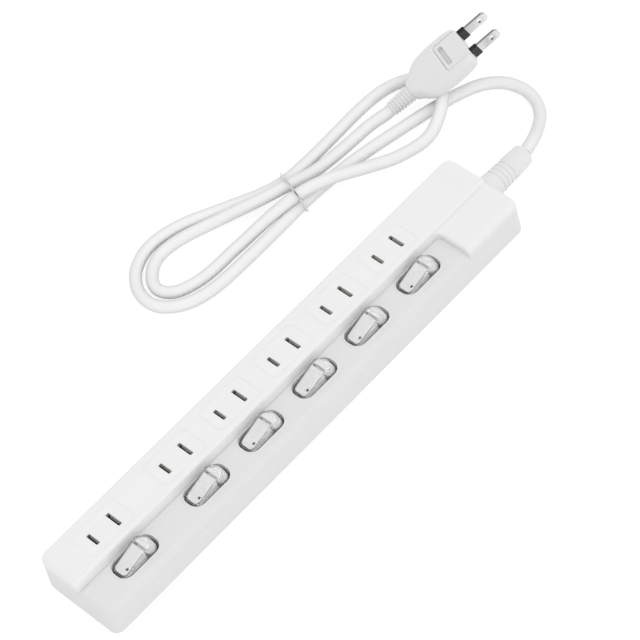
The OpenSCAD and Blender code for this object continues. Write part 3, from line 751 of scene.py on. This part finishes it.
def case_shell(name, section):
    """Closed outer form of one case half, its ends rounded in plan and in side view."""
    sections = []
    for x in case_stations():
        depth = HALF_L - abs(x)
        plan = roll(depth, PLAN_R)
        shift = {"near": plan, "far": -plan, "wall": roll(depth, TIER_R), "flat": 0}
        ring = []
        for y, z, group in section(x):
            back = math.copysign(SEAM, x) if z == SPLIT_Z and depth < PLAN_R else 0
            if z < FOOT_R:
                z += 0.9 * roll(depth, FOOT_R) * (1 - z / FOOT_R)
            elif z > SPLIT_Z:
                z -= roll(depth, TIER_R) * min((z - SPLIT_Z) / (TRAY_Z - SPLIT_Z), 1)
            ring.append((x * (1 - END_LEAN / HALF_L * z / TIER_Z) - back, y + shift[group], z))
        sections.append(ring)
    return loft(name, sections, lipped=True)


def hollow(thing):
    """Takes the rooms inside the case out of a half: under the shoulder, the tier, the tray and the block."""
    lean, step_up, near_in, end_in = 0.8, 0.4, 1, 1.6
    end_x = HALF_L - WALL - END_LEAN
    side = HALF_W - WALL - lean
    near_y = near_in - side
    step_z = TRAY_Z - SHOULDER_R + step_up
    rooms = [
        ((-end_x, -side, WALL), (end_x, side, step_z)),
        ((-end_x, WALL + WALL_FOOT_Y, WALL), (end_x, side, TIER_Z - TOP_WALL)),
        ((-end_x + end_in, near_y, WALL), (end_x, side, TRAY_Z - TOP_WALL)),
        ((BLOCK_X + WALL, near_y, WALL), (end_x, 0, BLOCK_Z - TOP_WALL)),
    ]
    room = block(*rooms[0])
    for low, high in rooms[1:]:
        room = combine(room, block(low, high), "UNION")
    return combine(thing, room, "DIFFERENCE")


def slot_cutter(length):
    """Blade slot with a rounded lead-in; its walls fall away below the top skin."""
    corner, skin = 0.4, 1.1

    def level(z, grow, shift=0.0):
        ring = rounded_outline(SLOT_W + grow, length + grow, corner + grow / 2, 3)
        return z, [(x + (shift if x > 0 else 0), y + (shift if y > 0 else 0)) for x, y in ring]

    levels = [level(WELL_Z - 1, 0, UNDERCUT), level(TIER_Z - skin, 0, UNDERCUT)]
    for down, grow in ((1, 0), (0.45, 0.5), (0.12, 1.2), (0, 2.2)):
        levels.append(level(TIER_Z - LEAD_IN * down, LEAD_IN * grow))
    return column("slot", levels + [level(TIER_Z + 1, LEAD_IN * 3.2)])


def ring_solid(name, levels):
    """Ring whose section runs through outlines of equal point counts, each at its own height."""
    sections = [[(*outline[k], z) for z, outline in levels] for k in range(len(levels[0][1]))]
    return loft(name, sections, closed=True)


def rim_ring():
    """Low rounded rim that runs round a switch opening."""
    grow = [(0, -0.6), (0, RIM_H * 0.6), (0.22, RIM_H), (0.62, RIM_H), (RIM_W, 0.05), (RIM_W, -0.6)]
    return ring_solid("rim", [
        (TRAY_Z + z, rounded_outline(OPENING_L + 2 * g - 0.4, OPENING_W + 2 * g - 0.4, OPENING_R + g - 0.2))
        for g, z in grow
    ])


def pad_groove():
    """Fine groove round an outlet's pad."""
    outer = rounded_outline(PAD_L, PAD_W, PAD_R)
    inner = rounded_outline(PAD_L - 2 * GROOVE_W, PAD_W - 2 * GROOVE_W, PAD_R - GROOVE_W)
    low, high = TIER_Z - GROOVE_D, TIER_Z + 1
    return ring_solid("groove", [(low, outer), (high, outer), (high, inner), (low, inner)])


def switch_opening():
    """Cutter of a switch opening, whose walls lean in below the tray."""
    mouth = rounded_outline(OPENING_L, OPENING_W, OPENING_R)
    throat = rounded_outline(OPENING_L - 2 * THROAT, OPENING_W - THROAT, OPENING_R - THROAT / 2)
    return column("opening", [
        (TRAY_Z - TOP_WALL - 1, throat), (TRAY_Z - 0.9, throat), (TRAY_Z - 0.1, mouth), (TRAY_Z + 1, mouth),
    ])


def lead_exit():
    """Cutter of the round hole that the strain relief passes through."""
    return rod((HALF_L - 6, 0, EXIT_Z), (HALF_L + 2, 0, EXIT_Z), EXIT_R, 48)


def make_cover():
    """Top cover with its outlet pads, blade slots and switch openings."""
    cover = case_shell("cover_shell", cover_section)
    hollow(cover)
    wells = []
    for x, length in SLOTS:
        half = Vector((SLOT_W / 2 + WELL_WALL, length / 2 + WELL_WALL))
        low = (x - half.x, SLOT_Y - half.y, WELL_Z)
        wells.append(block(low, (x + half.x + UNDERCUT, SLOT_Y + half.y + UNDERCUT, TIER_Z - 1)))
    combine(cover, together("wells", wells), "UNION")
    openings = [(x + OPENING_X, SWITCH_Y, 0) for x in OUTLET_X]
    combine(cover, copies("rims", rim_ring(), openings), "UNION")
    cutters = [copies("openings", switch_opening(), openings)]
    cutters += [copies("slot", slot_cutter(length), [(x, SLOT_Y, 0)]) for x, length in SLOTS]
    cutters.append(copies("grooves", pad_groove(), [(x + 0.2, SLOT_Y + 0.4, 0) for x in OUTLET_X]))
    cutters.append(lead_exit())
    combine(cover, together("cutters", cutters), "DIFFERENCE")
    finish_piece(merge_close(cover), "case_plastic", ["top_cover"])


def screw_places():
    """Foot centres of the case screws, from the frame: one for each separate screw of the node."""
    work = bmesh.new()
    work.from_mesh(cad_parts["case_screws"].data)
    bmesh.ops.remove_doubles(work, verts=work.verts, dist=1e-6)
    left, places = set(work.verts), []
    while left:
        island, queue = [], [left.pop()]
        while queue:
            v = queue.pop()
            island.append(v.co / MM)
            near = {e.other_vert(v) for e in v.link_edges} & left
            left -= near
            queue += near
        low, high = ([pick(p[k] for p in island) for k in range(3)] for pick in (min, max))
        places.append(((low[0] + high[0]) / 2, (low[1] + high[1]) / 2, low[2]))
    work.free()
    return sorted(places)


SCREWS = screw_places()


def screw_bars(low, high, radius):
    """Round bars from one height to another at the case screws."""
    return [rod((x, y, low), (x, y, high), radius) for x, y, _ in SCREWS]


def make_base():
    """Lower case with its screw bosses and the recesses under them."""
    boss_r, head_r, recess_d, hole_r = 3.6, 2.9, 3.0, 1.45
    base = case_shell("base_shell", base_section)
    hollow(base)
    combine(base, together("bosses", screw_bars(1, SPLIT_Z - 0.05, boss_r)), "UNION")
    cutters = screw_bars(-1, recess_d, head_r) + [lead_exit()]
    combine(base, together("cutters", cutters), "DIFFERENCE")
    combine(base, together("holes", screw_bars(1, SPLIT_Z + 1, hole_r)), "DIFFERENCE")
    finish_piece(base, "case_plastic", ["lower_case"])


def make_lips():
    """Spring lips on the contact leaves: they close to a throat and flare out close under the slots."""
    length, end, foot_z, low, high = 6.2, 0.4, WELL_Z - 0.15, WELL_Z + 1.4, TIER_Z - 1.25
    foot, throat, thick, end_share = 0.7, 0.28, 0.18, 0.75
    lips = []
    for side, mouth in ((-1, SLOT_W / 2 - thick), (1, SLOT_W / 2 + 0.25)):
        ring = [(foot, foot_z), (throat, low), (mouth, high), (mouth + thick, high - 0.05),
                (throat + thick, low - 0.12), (foot + thick, foot_z)]
        half = length / 2
        sections = [
            [(side * (throat + (x - throat) * share), y, z) for x, z in ring[::side]]
            for y, share in ((-half, end_share), (end - half, 1.0), (half - end, 1.0), (half, end_share))
        ]
        lips.append(copies("lip", loft("lip", sections), [(x, SLOT_Y, 0) for x, _ in SLOTS]))
    finish_piece(together("contact_lips", lips), "brass_strip")


# ---------------- geometry-node trees

def geometry_tree(name, **inputs):
    """Empty geometry tree that takes a mesh and named values and gives a mesh."""
    tree = bpy.data.node_groups.new(name, "GeometryNodeTree")
    for label, kind in {"Geometry": "Geometry", **inputs}.items():
        tree.interface.new_socket(name=label, in_out="INPUT", socket_type="NodeSocket" + kind)
    tree.interface.new_socket(name="Geometry", in_out="OUTPUT", socket_type="NodeSocketGeometry")
    return tree, tree.nodes.new("NodeGroupInput").outputs


def close_tree(tree, given, geometry):
    """Ends a tree in Realize Instances and Set Material."""
    real = put(tree, "GeometryNodeRealizeInstances", {"Geometry": geometry}).outputs["Geometry"]
    dressed = put(tree, "GeometryNodeSetMaterial", {"Geometry": real, "Material": given["Finish"]})
    put(tree, "NodeGroupOutput", {"Geometry": dressed.outputs["Geometry"]})
    return tree


def wire_tree():
    """Round wire along a closed line of edges."""
    tree, given = geometry_tree("bent_wire", Radius="Float", Rings="Int", Sides="Int", Finish="Material")
    line = put(tree, "GeometryNodeMeshToCurve", {"Mesh": given["Geometry"]}).outputs["Curve"]
    even = put(tree, "GeometryNodeResampleCurve", {"Curve": line, "Count": given["Rings"]})
    ring = put(tree, "GeometryNodeCurvePrimitiveCircle",
               {"Radius": given["Radius"], "Resolution": given["Sides"]})
    skin = put(tree, "GeometryNodeCurveToMesh",
               {"Curve": even.outputs["Curve"], "Profile Curve": ring.outputs["Curve"]})
    return close_tree(tree, given, skin.outputs["Mesh"])


def set_on_points_tree():
    """One shape repeated at every point of the mesh."""
    tree, given = geometry_tree("set_on_points", Shape="Object", Finish="Material")
    source = put(tree, "GeometryNodeObjectInfo", {"Object": given["Shape"]}).outputs["Geometry"]
    copied = put(tree, "GeometryNodeInstanceOnPoints", {"Points": given["Geometry"], "Instance": source})
    return close_tree(tree, given, copied.outputs["Instances"])


def grown(name, points, edges, tree, values):
    """Runs a geometry tree on a bare line or set of points and keeps the plain mesh."""
    mesh = bpy.data.meshes.new(name)
    mesh.from_pydata([tuple(p) for p in points], edges, [])
    thing = new_object(name, mesh)
    step = thing.modifiers.new("grow", "NODES")
    step.node_group = tree
    sockets = {s.name: s.identifier for s in tree.interface.items_tree if s.in_out == "INPUT"}
    for label, value in values.items():
        step[sockets[label]] = value
    return applied(thing)


def make_screws():
    """Cross-recess screws sunk in the underside."""
    shank_r, head_r, head_h, length, cross_w, cross_l, cross_d = 1.4, 2.6, 1.5, 14.9, 0.6, 3.0, 0.9
    profile = [(0, head_r * 0.72), (0.25, head_r * 0.9), (0.6, head_r), (head_h, head_r), (head_h, shank_r)]
    profile += [(length - 1, shank_r), (length, shank_r * 0.4)]
    screw = turned("screw", profile, 32)
    screw.data.transform(Matrix.Rotation(math.radians(-90), 4, "Y"))
    for a, b in ((cross_l, cross_w), (cross_w, cross_l)):
        combine(screw, block((-a / 2, -b / 2, -1), (a / 2, b / 2, cross_d)), "DIFFERENCE")
    low = SCREWS[0][2]
    screws = grown("screw_set", [(x, y, low) for x, y, _ in SCREWS], [],
                   set_on_points_tree(), {"Shape": screw, "Finish": FINISH["plated_steel"]})
    bpy.data.objects.remove(screw)
    finish_piece(screws, "plated_steel", ["case_screws"])


# ---------------- rockers and lamps

ROCKER_L = 21.1
ROCKER_W = 10.6
ROCKER_R = 3.8
ROCKER_FOOT = -2.6
LOW_H = 4.6
RIDGE_H = 9.2
RIDGE_X = 3.6
TOP_HALF = 4.1
SIDE_H = 2.6
SHELF_H = 5.2
HUMP_END = 9.7
HUMP_LOW = 7.2
ROCKER_WALL = 0.6
RIDGE_END = RIDGE_X + 0.25
HUMP_X = RIDGE_END + 0.55
SLOPE = (RIDGE_H - LOW_H) / (RIDGE_X + ROCKER_L / 2)
LAMP_X = -4.7
LAMP_L = 7.0
LAMP_R = 1.6


def mirrored(x, right):
    """Section at x: points on the +y side, and their mirror images."""
    return [(x, y, z) for y, z in right] + [(x, -y, z) for y, z in reversed(right)]


def rocker_section(x, inset):
    """Outline of the rocker across its length at x, above its pivot; inset makes its hollow."""
    groove_d, groove_in, groove_up, hump_up, crown, end_r, fullness = 0.45, 0.25, 1.2, 0.15, 0.2, 0.8, 2.6
    half = ROCKER_L / 2 - inset
    corner = ROCKER_R - inset
    past = max(abs(x) - (half - corner), 0)
    base = ROCKER_W / 2 - inset - corner + math.sqrt(max(corner * corner - past * past, 0))
    if x <= RIDGE_X:
        top, width, side = LOW_H + SLOPE * (x + ROCKER_L / 2), TOP_HALF, SIDE_H
    elif x < HUMP_X and inset == 0:
        top, width, side = RIDGE_H - groove_d, TOP_HALF - groove_in, SIDE_H + groove_up
    else:
        t = min(max((x - HUMP_X) / (HUMP_END - HUMP_X), 0), 1)
        top = RIDGE_H + hump_up - (RIDGE_H - HUMP_LOW) * t * t
        width = TOP_HALF * math.sqrt(max(1 - t**fullness, 0))
        side = SHELF_H
        if t >= 1:
            top = SHELF_H + crown
    low_end = max(x + ROCKER_L / 2, 0)
    top -= roll(low_end, end_r) + inset
    side = min(side, top - 0.3)
    width = max(min(width - inset * 0.8, base - 0.25), 0.12)
    edge = min(0.35, (top - side) * 0.4)
    foot = ROCKER_FOOT - (1.5 if inset else 0)
    return mirrored(x, [(base, foot), (base, side), (width + 0.12, top - edge),
                        (width - 0.1, top - 0.06), (width * 0.5, top)])


def rocker_form(name, inset):
    """Outer form of a rocker, or with an inset its hollow."""
    half = ROCKER_L / 2 - inset
    stations = [-half + d for d in (0, 0.1, 0.35, 0.8, 1.5, 2.4, 3.8)]
    stations += [-4.5, -2, 0.5, 2.5, RIDGE_X, RIDGE_END, HUMP_X - 0.12, HUMP_X + 0.12]
    stations += [HUMP_X + (HUMP_END - HUMP_X) * t for t in (0.15, 0.35, 0.55, 0.7, 0.82, 0.91, 0.97, 1.0)]
    stations += [HUMP_END + 0.1, half - 0.35, half - 0.1, half]
    stations = sorted({round(min(s, half), 4) for s in stations})
    return loft(name, [rocker_section(x, inset) for x in stations])


def make_rockers():
    """Clear rockers with their pivot stubs, and the lamps and carriers in them."""
    shape = combine(rocker_form("rocker", 0), rocker_form("room", ROCKER_WALL), "DIFFERENCE")
    stub_r, stub_y, nose_r, nose_x, nose_z = 1.2, 7.2, 0.9, 0.45, -4.4
    for inner in (
        block((-1.2, -3.2, ROCKER_FOOT), (1.2, 3.2, 3.6)),
        block((-9.2, -4.4, ROCKER_FOOT), (-8.2, 4.4, 2.0)),
        rod((0, -stub_y, 0), (0, stub_y, 0), stub_r),
        rod((nose_x, 0, nose_z), (nose_x, 0, ROCKER_FOOT + 1), nose_r),
    ):
        combine(shape, inner, "UNION")
    pieces = [
        (shape, "clear_rocker", "clear_rocker", "clear_rocker", "rocker"),
        (lamp_form(), "neon_lamp", "lamp_glass", "lamp_glass", "lamp"),
        (carrier_form(), "rocker_carrier", "frame_plastic", "carrier_white", None),
    ]
    for i, x in enumerate(OUTLET_X, 1):
        for form, name, slot, material, node in pieces:
            piece = new_object(f"{name}_{i}", form.data.copy())
            finish_piece(piece, slot, [f"{node}_{i}"] if node else (), f"rocker_body_{i}", 30,
                         Matrix.Translation((x, SWITCH_Y, PIVOT_Z)), material=material)
    for form, *_ in pieces:
        bpy.data.objects.remove(form)


def slab_section(x, half, top, low):
    """Section across a flat part with softened upper edges."""
    edge = 0.25
    return mirrored(x, [(half, low), (half, top - edge), (half - edge, top)])


def carrier_form():
    """White carrier close under the clear skin: a long plate with a lamp window, and a pad in the hump."""
    under, rim, pad_t = ROCKER_WALL + 0.15, 0.5, 1.3
    skirt_z, flare, gap, flange, skirt_t = 2.3, 1.07, 1.25, 0.2, 0.3
    plate, skirts = [], ([], [])
    for x, half in ((-9.7, 2.0), (-9.4, 2.6), (-8.8, 3.1), (-7.8, 3.4), (-2, 3.45), (RIDGE_X - 0.4, 3.45)):
        top = LOW_H + SLOPE * (x + ROCKER_L / 2) - under
        plate.append(slab_section(x, half, top, top - rim))
        lean = half * (flare - 1) * gap / (top - skirt_z)
        foot = half * (flare + flange)
        wall = [(half * flare - skirt_t, skirt_z), (foot, skirt_z), (foot, skirt_z + 0.4),
                (half * flare, skirt_z + 0.45), (half + lean, top - gap), (half + lean - skirt_t, top - gap)]
        for side, skirt in zip((1, -1), skirts):
            skirt.append([(x, y * side, z) for y, z in wall[::side]])
    pad, pad_x = [], RIDGE_X + 0.8
    for x, half in ((4.6, 3.4), (6.0, 3.3), (7.4, 2.7), (8.2, 1.9), (8.6, 1.2)):
        t = (x - pad_x) / (HUMP_END - pad_x)
        top = RIDGE_H - (RIDGE_H - HUMP_LOW) * t * t - under
        pad.append(slab_section(x, half, top, top - pad_t))
    window = rounded_outline(1.3, 1.3, 0.3, 3, (-6.7, -2.3))
    plate = combine(loft("plate", plate), column("window", [(0, window), (9, window)]), "DIFFERENCE")
    shelf, shelf_z = rounded_outline(5.6, 8.8, 2.8, 6, (7.05, 0)), SHELF_H - ROCKER_WALL - 0.2
    shelf = column("shelf", [(shelf_z - 1, shelf), (shelf_z, shelf)])
    skirts = [loft("skirt", skirt) for skirt in skirts]
    return together("carrier", [plate, *skirts, combine(loft("pad", pad), shelf, "UNION")])


def lamp_form():
    """Small neon lamp: a glass tube with a domed end, lying along the rocker."""
    start, dome = LAMP_X - LAMP_L / 2, LAMP_X + LAMP_L / 2 - LAMP_R
    profile = [(start, LAMP_R * 0.9), (start + 0.3, LAMP_R), (dome, LAMP_R)]
    profile += [(x, max(r, 0.02)) for x, r in arc(dome, 0, LAMP_R, 75, 0, 5)]
    return turned("lamp", profile, 24)


# ---------------- lead

def smooth_line(route, rings, closed=False):
    """Evenly spread points of the smooth curve through a route."""
    p = [Vector(q) for q in route]
    spans = len(p) if closed else len(p) - 1
    p = [p[-1], *p, p[0], p[1]] if closed else [2 * p[0] - p[1], *p, 2 * p[-1] - p[-2]]
    line = []
    for k in range(rings):
        u = k * spans / (rings if closed else rings - 1)
        i = min(int(u), spans - 1)
        t = u - i
        a, b, c, d = p[i:i + 4]
        line.append((2 * b + (c - a) * t + (2 * a - 5 * b + 4 * c - d) * t * t
                     + (3 * b - a - 3 * c + d) * t**3) / 2)
    return line


def round_tube(name, line, radius, sides):
    """Tube along a line, with a map that runs along it and round it, and its length."""
    work = bmesh.new()
    chart = work.loops.layers.uv.new("UVMap")
    up, uv_unit = Vector((0, 0, 1)), 100
    turns = [math.tau * k / sides for k in range(sides)]
    rings, reach = [], [0.0]
    for i, p in enumerate(line):
        way = (line[min(i + 1, len(line) - 1)] - line[max(i - 1, 0)]).normalized()
        side = way.cross(up).normalized()
        rise = side.cross(way)
        rings.append([work.verts.new(p + radius * (math.cos(a) * side + math.sin(a) * rise)) for a in turns])
        if i:
            reach.append(reach[-1] + (p - line[i - 1]).length)
    for i in range(len(rings) - 1):
        for k in range(sides):
            corners = ((i, k), (i, k + 1), (i + 1, k + 1), (i + 1, k))
            face = work.faces.new([rings[a][b % sides] for a, b in corners])
            for loop, (a, b) in zip(face.loops, corners):
                loop[chart].uv = (reach[a] / uv_unit, b / sides)
    work.faces.new(rings[0])
    work.faces.new(list(reversed(rings[-1])))
    bmesh.ops.recalc_face_normals(work, faces=work.faces)
    return kept(name, work), reach[-1]


def plug_frame():
    """Matrix that takes the plug's own frame to the part's."""
    turn = Matrix.Rotation(math.radians(PLUG_TURN), 4, "Z")
    tilt = Matrix.Rotation(math.radians(-PLUG_TILT), 4, "Y")
    return Matrix.Translation(PLUG_AT) @ turn @ tilt


def make_lead():
    """The mains lead from the strain relief to the plug, in its bundle."""
    nose = (plug_frame().to_3x3() @ Vector((1, 0, 0))).normalized()
    route = [Vector(p) for p in CORD_ROUTE] + [PLUG_AT - 4 * nose, PLUG_AT]
    rest, rings, sides = CORD_D / 2 + 0.05, 620, 20
    line = [Vector((p.x, p.y, max(p.z, rest))) for p in smooth_line(route, rings)]
    lead, length = round_tube("mains_lead", line, CORD_D / 2, sides)
    finish_piece(lead, "cord_vinyl", ["cord"], angle=60, weighted=False)
    path = [tuple(p * MM) for p in line]
    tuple(path[0])


def make_tie():
    """Plated wire tie round the middle of the bundle."""
    line = smooth_line(TIE_ROUTE, 96, closed=True)
    edges = [(i, (i + 1) % len(line)) for i in range(len(line))]
    tie = grown("wire_tie", line, edges, wire_tree(),
                {"Radius": TIE_D / 2, "Rings": 120, "Sides": 12, "Finish": FINISH["tie_wire"]})
    return finish_piece(tie, "tie_wire", ["cord_tie"], angle=60, weighted=False)


def make_relief():
    """Strain relief at the case: a flange inside, four grooves and a smooth collar."""
    neck, root, collar = 6.2, 6.7, 5.4
    grooves, groove_x, groove_pitch, groove_d, collar_x = 4, 6.9, 2.55, 0.45, 17.0
    flange, flange_t, inner, nose_l, nose_r = 7.2, 2.3, WALL + 0.8, 1.3, 1.2
    profile = [(-inner - flange_t, 0.05), (-inner - flange_t, flange), (-inner, flange), (-inner, neck),
               (0, neck), (0, root - 0.35), (0.35, root)]
    slope = (root - collar - 0.1) / RELIEF_L
    groove = ((-0.75, 0), (-0.6, 0.08), (-0.42, groove_d), (0.42, groove_d), (0.6, 0.08), (0.75, 0))
    for k in range(grooves):
        for dx, sunk in groove:
            x = groove_x + k * groove_pitch + dx
            profile.append((x, root - 0.25 - slope * x - sunk))
    profile += [(collar_x - 0.5, root - 0.25 - slope * collar_x), (collar_x, root - slope * collar_x)]
    profile.append((RELIEF_L - 1.6, collar + 0.1))
    for a in (math.radians(90 * k / 4) for k in range(5)):
        profile.append((RELIEF_L - nose_l + nose_l * math.sin(a), collar - nose_r + nose_r * math.cos(a)))
    profile.append((RELIEF_L, CORD_D / 2 - 0.1))
    relief = turned("case_strain_relief", profile, 64)
    place = Matrix.Translation((HALF_L, 0, EXIT_Z))
    return finish_piece(relief, "relief_vinyl", ["strain_relief"], angle=40, at=place)


# ---------------- plug

def eased(table, x):
    """Smooth value at x through a short list of places and values, held past its ends."""
    p = [table[0], *table, table[-1]]
    for (xa, ya), (x0, y0), (x1, y1), (xb, yb) in zip(p, p[1:], p[2:], p[3:]):
        if x <= x1:
            t = max((x - x0) / (x1 - x0), 0)
            m0 = (y1 - ya) / (x1 - xa) * (x1 - x0)
            m1 = (yb - y0) / (xb - x0) * (x1 - x0)
            return ((2 * t**3 - 3 * t**2 + 1) * y0 + (t**3 - 2 * t**2 + t) * m0
                    + (-2 * t**3 + 3 * t**2) * y1 + (t**3 - t**2) * m1)
    return table[-1][1]


PLUG_END_R = 2.2
PLUG_HALF_W = [(13, 5.0), (15, 6.4), (17.5, 9.4), (21, 12.0), (25, 12.8), (33, 12.8), (41, 12.6),
               (45, 11.6), (47, 10.2)]
PLUG_HALF_T = [(13, 4.7), (16, 4.85), (21, 5.0), (41, 5.0), (47, 4.7)]


def plug_section(x):
    """Rounded outline across the plug at x."""
    sides = 56
    end = roll(PLUG_L - x, PLUG_END_R)
    half_w = eased(PLUG_HALF_W, x) - end
    half_t = eased(PLUG_HALF_T, x) - end
    squareness = 2.4 + 1.6 * min(max((x - 22) / 10, 0), 1)
    ring = []
    for k in range(sides):
        a = math.tau * k / sides
        c, s = math.cos(a), math.sin(a)
        y = half_w * math.copysign(abs(c) ** (2 / squareness), c)
        z = half_t * math.copysign(abs(s) ** (2 / squareness), s)
        ring.append((x, y, z))
    return ring


def make_plug():
    """Moulded plug with its grips, terminal block, blades and ribbed relief."""
    at = plug_frame()
    stations = [13, 13.6, 14.5, 15.5, 16.5, 17.5, 19, 20.5, 22, 24, 26, 29, 32, 35, 38, 41, 43, 44.4]
    stations += [PLUG_L - PLUG_END_R + PLUG_END_R * math.sin(math.radians(a)) for a in range(0, 91, 15)]
    body = loft("plug_grips", [plug_section(x) for x in stations])
    seat = [(CORE_T / 2 - 1.0, 0.03), (CORE_T / 2, 0.12), (CORE_T / 2 + 0.35, 0.35),
            (PLUG_T / 2 - 0.22, 0.75), (PLUG_T / 2, 1.5), (PLUG_T, 3.5)]
    levels = [(-z, g) for z, g in reversed(seat)] + seat
    middle = (PLUG_L - CORE_L / 2 + 2, 0)
    levels = [(z, rounded_outline(CORE_L + 4 + 2 * g, CORE_W + 2 * g, 1.6 + g, at=middle)) for z, g in levels]
    combine(body, column("seat", levels), "DIFFERENCE")
    pieces = [finish_piece(body, "relief_vinyl", ["plug_body"], angle=38, at=at)]
    pieces += [make_plug_relief(at), make_core(at)]
    for side, name in ((-1, "live"), (1, "neutral")):
        pieces += [make_blade(at, side, name), make_sleeve(at, side, name)]
    return pieces


def make_plug_relief(at):
    """Ribbed bend relief behind the plug."""
    ribs, small, grow, rib_d = 8, CORD_D / 2 + 0.65, 0.1, 0.5
    pitch = PLUG_RELIEF_L / ribs
    profile = [(0, 0.05)]
    for k in range(ribs):
        r = small + k * grow
        for x, d in ((0.02, 0.15), (0.1, 0), (0.5, 0), (0.58, 0.15), (0.66, rib_d), (0.94, rib_d)):
            profile.append((pitch * (k + x), r - d))
    profile += [(PLUG_RELIEF_L, small + ribs * grow - 0.3), (PLUG_RELIEF_L + 2.5, small + ribs * grow - 0.3),
                (PLUG_RELIEF_L + 2.5, 0.05)]
    return finish_piece(turned("plug_bend_relief", profile, 40), "relief_vinyl", angle=50, at=at)


def make_core(at):
    """Terminal block with a finger slot across each face."""
    slot_x, slot_y, slot_d, round_r = PLUG_L - CORE_L + 3.0, 0.4, 2.2, 0.45
    outline = rounded_outline(CORE_L - 0.1, CORE_W - 0.12, 1.2, 4, (PLUG_L - CORE_L / 2, 0))
    core = column("terminal_block", [(-CORE_T / 2, outline), (CORE_T / 2, outline)])
    soften(core, round_r, 3)
    slot = rounded_outline(2.3, 12.0, 0.5, 3, (slot_x, slot_y))
    wide = rounded_outline(2.8, 12.6, 0.75, 3, (slot_x, slot_y))
    for s in (-1, 1):
        levels = [(CORE_T / 2 - slot_d, slot), (CORE_T / 2 - 0.3, slot), (CORE_T / 2 + 0.1, wide)]
        combine(core, column("slot", [(s * z, ring) for z, ring in levels]), "DIFFERENCE")
    return finish_piece(core, "plug_block", ["plug_core"], angle=38, at=at)


def make_blade(at, side, name):
    """Flat blade with a tapered nose and a hole near its tip."""
    nose, bevel, hole_gap = 1.6, 0.35, 4.4
    y0 = side * SLOT_GAP / 2
    half_t, half_w = BLADE_T / 2, BLADE_W / 2
    end = PLUG_L + BLADE_L
    sections = []
    for x, thin, narrow in ((PLUG_L - 1, 0, 0), (end - nose, 0, 0), (end - nose * 0.35, 0.12, nose * 0.55),
                            (end, 0.42, nose)):
        t, w = half_t - thin, half_w - narrow
        ring = rounded_outline(2 * t, 2 * w, min(bevel, t * 0.8), 3, (y0, 0))
        sections.append([(x, y, z) for y, z in ring])
    blade = loft(f"blade_{name}", sections)
    hole_x = end - hole_gap
    combine(blade, rod((hole_x, y0 - 3, 0), (hole_x, y0 + 3, 0), BLADE_HOLE_R), "DIFFERENCE")
    return finish_piece(blade, "plated_blade", [f"plug_blade_{name}"], angle=35, at=at)


def make_sleeve(at, side, name):
    """Black insulating sleeve at the root of a blade."""
    y0 = side * SLOT_GAP / 2
    sections = []
    for x, less in ((PLUG_L - 0.2, 0), (PLUG_L + SLEEVE_L - 0.4, 0), (PLUG_L + SLEEVE_L, 0.25)):
        t = BLADE_T + 2 * SLEEVE_WALL - 2 * less
        w = BLADE_W + 2 * SLEEVE_WALL - 2 * less
        ring = rounded_outline(t, w, 0.5 - less * 0.6, 3, (y0, 0))
        sections.append([(x, y, z) for y, z in ring])
    sleeve = loft(f"blade_sleeve_{name}", sections)
    return finish_piece(sleeve, "sleeve_black", [f"plug_sleeve_{name}"], angle=40, at=at)


# ---------------- carried-over pieces

def dress_cad_nodes():
    """Gives each CAD node that still shows its slot's finish."""
    each = {"live_contact": "brass_strip", "switch_frame": "frame_plastic", "bridge": "bridge_brass"}
    finish = {f"{node}_{i + 1}": name for node, name in each.items() for i in range(OUTLETS)}
    finish.update({
        "neutral_rail": "brass_strip", "live_rail": "brass_strip", "live_wire": "wire_dark",
        "neutral_wire": "wire_white", "cord_tail": "cord_vinyl", "cord_clamp": "frame_plastic",
        "clamp_screws": "plated_steel",
    })
    for node, name in finish.items():
        paint(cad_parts[node].data, name)


bpy.context.scene.view_settings.view_transform = "Standard"
make_camera()
make_world()
make_floor()
add_area("window", (-0.75, -1.5, 1.42), (0.03, 0.03, 0), 1.5, 1.3)

plug_pieces = make_plug()
tie = make_tie()
make_lead()
make_relief()
make_cover()
make_lips()
make_base()
make_screws()
make_rockers()
dress_cad_nodes()
